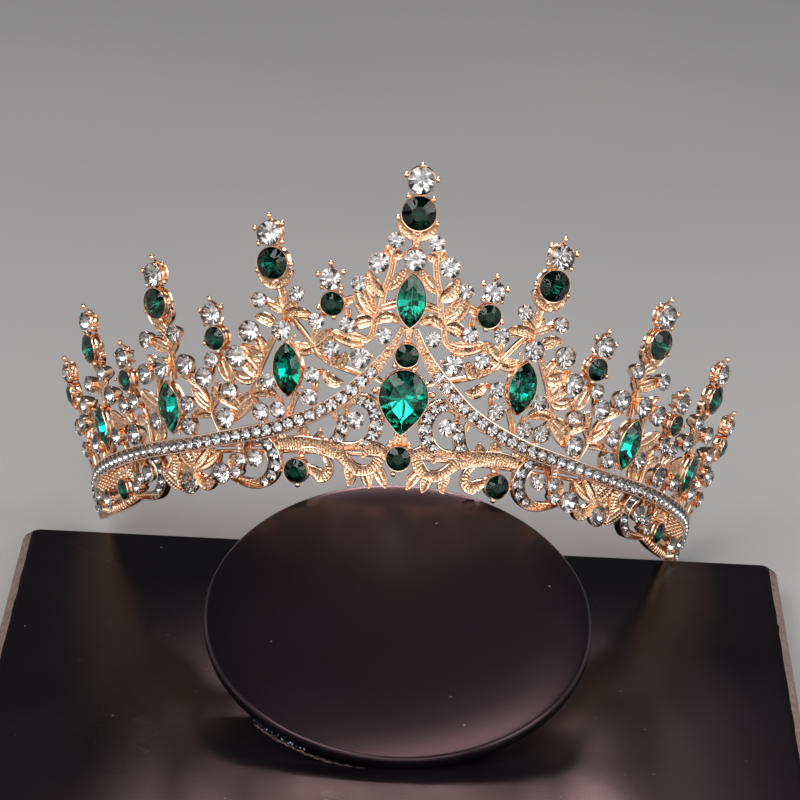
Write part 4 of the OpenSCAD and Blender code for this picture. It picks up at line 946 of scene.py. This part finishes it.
def cut_stone(blank, u, v, outline, rise, depth, mains=8, table=0.42, foot=0.04):
    """Cuts a stone with a table, a ring of kites, stars and halves above, and kites and halves below.

    The foot is the size of its lowest ring, and a foot with two sizes makes a keel."""
    girdle_top, girdle_low = -0.32, -0.46
    kite_swell, low_kite, low_kite_depth = 1.03, 0.28, 0.7
    table, foot = np.array(table), np.array(foot)
    shade = int(7 * abs(u) + 3 * v)  # puts the dark facets of each stone in other places

    def ring(count, start, size, height):
        share = (np.arange(count) + start) / count
        return np.concatenate([outline(share, 0.0) * size, np.full((count, 1), height)], 1)

    # The shadowed foil on one back facet in every few is painted shade; the others are bright
    def foil(i, step, every):
        return 2 if (step * i + shade) % every == 0 else 1

    rings = [ring(mains, 0, table, girdle_top + rise),
             ring(mains, 0.5, (1 + table) / 2 * kite_swell, girdle_top + rise / 2),
             ring(2 * mains, 0, 1.0, girdle_top),
             ring(2 * mains, 0, 1.0, girdle_low),
             ring(mains, 0.5, low_kite + (1 - low_kite) * foot, girdle_low - depth * low_kite_depth),
             ring(mains, 0, foot, girdle_low - depth)]
    first = np.cumsum([0] + [len(part) for part in rings])
    faces = [list(range(mains))]
    finishes = [0]
    for i in range(mains):
        back = (i - 1) % mains
        ahead = (i + 1) % mains
        tab, mid, low, tip = first[0] + i, first[1] + i, first[4] + i, first[5] + i
        top = [first[2] + (2 * i + k) % (2 * mains) for k in range(3)]
        rim = [first[3] + (2 * i + k) % (2 * mains) for k in range(3)]
        crown_faces = [[tab, mid, first[0] + ahead], [tab, first[1] + back, top[0], mid],
                       [mid, top[0], top[1]], [mid, top[1], top[2]],
                       [top[0], rim[0], rim[1], top[1]], [top[1], rim[1], rim[2], top[2]]]
        back_faces = [[low, rim[1], rim[0]], [low, rim[2], rim[1]], [tip, low, rim[0], first[4] + back],
                      [tip, first[5] + ahead, low]]
        faces += crown_faces + back_faces
        finishes += [0] * len(crown_faces) + [foil(i, 5, 3), foil(i, 3, 4), 1, foil(i, 1, 2)]
    faces.append([first[5] + i for i in range(mains)][::-1])
    finishes.append(1)
    blank.add(on_wall(u, v, np.concatenate(rings)), [[int(i) for i in face] for face in faces], finishes)


def round_stone(blank, u, v, d, mains=8, table=0.42):
    """Cuts a round stone for its cup."""
    crown_share, pavilion_share, pavilion_most = 0.16, 0.4, 2.6
    cut_stone(blank, u, v, round_outline(d), crown_share * d, min(pavilion_share * d, pavilion_most),
              mains, table)


def make_rounds(colour, finishes, spread=0.0, mains=8, table=0.42):
    """Makes a piece of each round stone of one colour that isn't in a field."""
    for name, u, v, d in [row for row in round_table if colour in row[0]]:
        for side, word in sides_of(u):
            stone = Blank()
            round_stone(stone, side * u, v, d + spread, mains, table)
            make_piece(f"{name}{word}_cut", stone, finishes, [f"{name}{word}"], 0)


clear_stone = [crystal_glass("clear_crystal_glass", "#fffefd", 1.58),
               silver_foil("silver_foil", "#d2d0d1", "#efedec"),
               silver_foil("shadowed_silver_foil", "#242326", "#4e4c4f")]
chaton_spread = 0.35  # how far a chaton's girdle overhangs its cup, over both sides
make_rounds("clear", clear_stone, chaton_spread)


# Clear stones of the vines
# The same chatons in smaller sizes, scattered like berries along the stems. One field of
# them covers each side.
for side, word in ((-1, "left"), (1, "right")):
    field = Blank()
    for u, v, d in berries:
        round_stone(field, side * u, v, d + chaton_spread)
    make_piece(f"vine_stones_{word}_cut", field, clear_stone, [f"vine_stones_{word}"], 0)


# Row of stones in each band
# Forty-two small chatons a side, glued into the channel between its rails and held by the
# grains of metal between them.
band_stone_d, rail_room = 2.75, 0.8
for side, word in ((-1, "left"), (1, "right")):
    field = Blank()
    for i in range(band_stones):
        u, v, width = along_band(band_first + i * band_pitch)
        round_stone(field, side * u, v, min(band_stone_d, width - rail_room))
    make_piece(f"band_stones_{word}_cut", field, clear_stone, [f"band_stones_{word}"], 0)


# Stones of the scrolls
# The finest chatons, set in a single row in the broad part of each channel scroll, and three
# on each end of the lower border.
scroll_stones = [(10.6, 21.3, 2.2), (8.5, 20.5, 2.8), (6.9, 18.4, 3.0), (6.4, 15.8, 3.0), (7.3, 13.4, 2.8),
                 (9.4, 11.8, 2.2), (15.3, 17.0, 2.1), (15.5, 14.8, 2.8), (16.5, 12.4, 2.7),
                 (38.4, 11.6, 2.0), (36.1, 10.5, 2.7), (34.5, 8.3, 2.9), (34.3, 5.7, 2.9), (35.4, 3.4, 2.7),
                 (37.6, 2.0, 2.2), (77.2, 9.0, 1.9), (75.0, 7.6, 2.6), (73.9, 5.3, 2.7), (74.4, 2.7, 2.7),
                 (76.1, 0.8, 2.5), (78.4, -0.2, 2.0)]
end_stones = [(122.8, 0.2, 2.2), (125.6, 0.0, 2.5), (128.6, 0.4, 2.6)]
scroll_sunk, end_sunk = -0.5, -0.05
field = Blank()
for side in (-1, 1):
    for rows, sunk in ((scroll_stones, scroll_sunk), (end_stones, end_sunk)):
        for u, v, d in rows:
            own = Blank()
            round_stone(own, side * u, v, d)
            lower = directions(side * u)[2] @ seat_turn.T * sunk
            field.add(own.points[0] + lower, own.faces, own.finishes)
make_piece("scroll_stones_cut", field, clear_stone, [])


# Green stones
# Emerald-coloured glass on green foil. The round ones are deep and dark, the marquises and
# the pear are paler and flash bright green, and all are held by the burnished rims.
def emerald_foil(name, dark, pale):
    """Green lacquered foil: patches of it are paler, which gives the flashes a broken edge."""
    patch_size = 1.6
    material, tree, place = new_material(name)
    patch = add_node(tree, "ShaderNodeTexNoise",
                     {"Vector": place, "Scale": 1 / (patch_size * MM), "Detail": 3.0})
    tint = add_node(tree, "ShaderNodeValToRGB", {"Fac": patch.outputs["Fac"]},
                    ramp=[(0.35, srgb(dark)), (0.65, srgb(pale))])
    finish_material(tree, {"Base Color": tint.outputs["Color"], "Metallic": 1.0, "Roughness": 0.06})
    return material


emerald_ior = 1.46
# The shadowed foils are painted shade on some back facets, as on the clear stones
dark_emerald = [crystal_glass("deep_emerald_glass", "#80bfae", emerald_ior),
                emerald_foil("deep_emerald_foil", "#185c50", "#217669"),
                emerald_foil("shadowed_deep_emerald_foil", "#0a2a24", "#0f3a32")]
bright_emerald = [crystal_glass("bright_emerald_glass", "#8ce6da", emerald_ior),
                  emerald_foil("bright_emerald_foil", "#10a594", "#22c9ba"),
                  emerald_foil("shadowed_bright_emerald_foil", "#06453c", "#0b6459")]
marquise_cut = {"rise": 1.1, "depth": 2.6, "table": (0.5, 0.62), "foot": (0.03, 0.5)}
pear_cut = {"rise": 1.6, "depth": 2.1, "table": 0.6}
make_rounds("green", dark_emerald, mains=16, table=0.44)
for name, u, v, w, h in marquise_table:
    for side, word in sides_of(u):
        stone = Blank()
        cut_stone(stone, side * u, v, marquise_outline(w, h), **marquise_cut)
        make_piece(f"{name}{word}_cut", stone, bright_emerald, [f"{name}{word}"], 0)
stone = Blank()
cut_stone(stone, 0, pear_v, pear_outline, **pear_cut)
make_piece("pear_stone_cut", stone, bright_emerald, ["pear_stone"], 0)


# Floor, light and camera
# A plain pale table top under nine soft boxes and one small gridded box, and a long lens
# that looks down on the tiara's front at the angle of the picture.
def pale_tabletop():
    """Matt painted board: pale warm grey with the faintest cloudiness."""
    cloud_size = 180.0
    material, tree, place = new_material("matt_pale_paint")
    cloud = add_node(tree, "ShaderNodeTexNoise",
                     {"Vector": place, "Scale": 1 / (cloud_size * MM), "Detail": 2.0})
    shade = add_node(tree, "ShaderNodeValToRGB", {"Fac": cloud.outputs["Fac"]},
                     ramp=[(0.3, srgb("#b6b6b7")), (0.7, srgb("#bdbdbd"))])
    finish_material(tree, {"Base Color": shade.outputs["Color"], "Roughness": 0.8})
    return material


floor = Blank()
floor_half, floor_corner, floor_t = 3000.0, 200.0, 2.0
floor.skin(np.stack([panel_ring(floor_half, floor_half, floor_corner, height)
                     for height in (-floor_t, 0.0)]))
floor_mesh = bpy.data.meshes.new("floor")
floor_mesh.from_pydata((np.concatenate(floor.points) * MM).tolist(), [], floor.faces)
floor_mesh.materials.append(pale_tabletop())
floor_piece = bpy.data.objects.new("floor", floor_mesh)
bpy.context.collection.objects.link(floor_piece)

aim = Vector((-2.03, 45.0, 65.26)) * MM
board_front = Vector((20.0, -190.0, 11.0)) * MM
# Name, place, target, size, power in watts, colour and spread in degrees
soft_boxes = [("key_box", (-520, -620, 900), aim, (800, 600), 7.2, "#fffdfb", 180),
              ("fill_box", (760, -420, 560), aim, (500, 700), 3.7, "#ffffff", 180),
              ("front_box", (150, -1100, 620), aim, (1000, 400), 4.0, "#ffffff", 180),
              ("low_box", (0, -1350, 190), aim, (2000, 600), 3.5, "#ffffff", 180),
              ("left_box", (-1150, -260, 420), aim, (700, 800), 1.3, "#ffffff", 180),
              ("right_box", (1150, -260, 420), aim, (700, 800), 1.3, "#ffffff", 180),
              ("left_rear_box", (-950, 450, 420), aim, (700, 700), 0.8, "#ffffff", 180),
              ("right_rear_box", (950, 450, 420), aim, (700, 700), 0.8, "#ffffff", 180),
              ("top_box", (110, -20, 1050), aim, (560, 300), 2.6, "#fff4f0", 180),
              ("gridded_box", (10, 300, 228), board_front, (125, 80), 0.054, "#ffd8dc", 26)]
for name, place, target, size, power, colour, spread in soft_boxes:
    light = bpy.data.lights.new(name, "AREA")
    light.shape = "RECTANGLE"
    light.size = size[0] * MM
    light.size_y = size[1] * MM
    light.energy = power
    light.color = srgb(colour)[:3]
    light.spread = math.radians(spread)
    lamp = bpy.data.objects.new(name, light)
    lamp.location = Vector(place) * MM
    lamp.rotation_euler = (target - lamp.location).to_track_quat("-Z", "Y").to_euler()
    bpy.context.collection.objects.link(lamp)

world = bpy.data.worlds.new("studio")
world.use_nodes = True
world.node_tree.nodes.clear()
room = add_node(world.node_tree, "ShaderNodeBackground", {"Color": srgb("#b4b6bc"), "Strength": 0.12})
add_node(world.node_tree, "ShaderNodeOutputWorld", {"Surface": room.outputs["Background"]})
bpy.context.scene.world = world
bpy.context.scene.view_settings.view_transform = "Standard"

elevation, azimuth, roll, distance = math.radians(21.945), math.radians(0.065), math.radians(2.871), 953.55
forward = Vector((math.sin(azimuth) * math.cos(elevation), math.cos(azimuth) * math.cos(elevation),
                  -math.sin(elevation)))
level = Vector((math.cos(azimuth), -math.sin(azimuth), 0))
upright = level.cross(forward)
right = level * math.cos(roll) + upright * math.sin(roll)
up = right.cross(forward)
eye = bpy.data.cameras.new("camera")
eye.lens = 180
eye.sensor_width = 36
eye.clip_start = 0.05
camera = bpy.data.objects.new("camera", eye)
turn = Matrix((right, up, -forward)).transposed()
camera.matrix_world = Matrix.Translation(aim - forward * distance * MM) @ turn.to_4x4()
bpy.context.collection.objects.link(camera)
bpy.context.scene.camera = camera
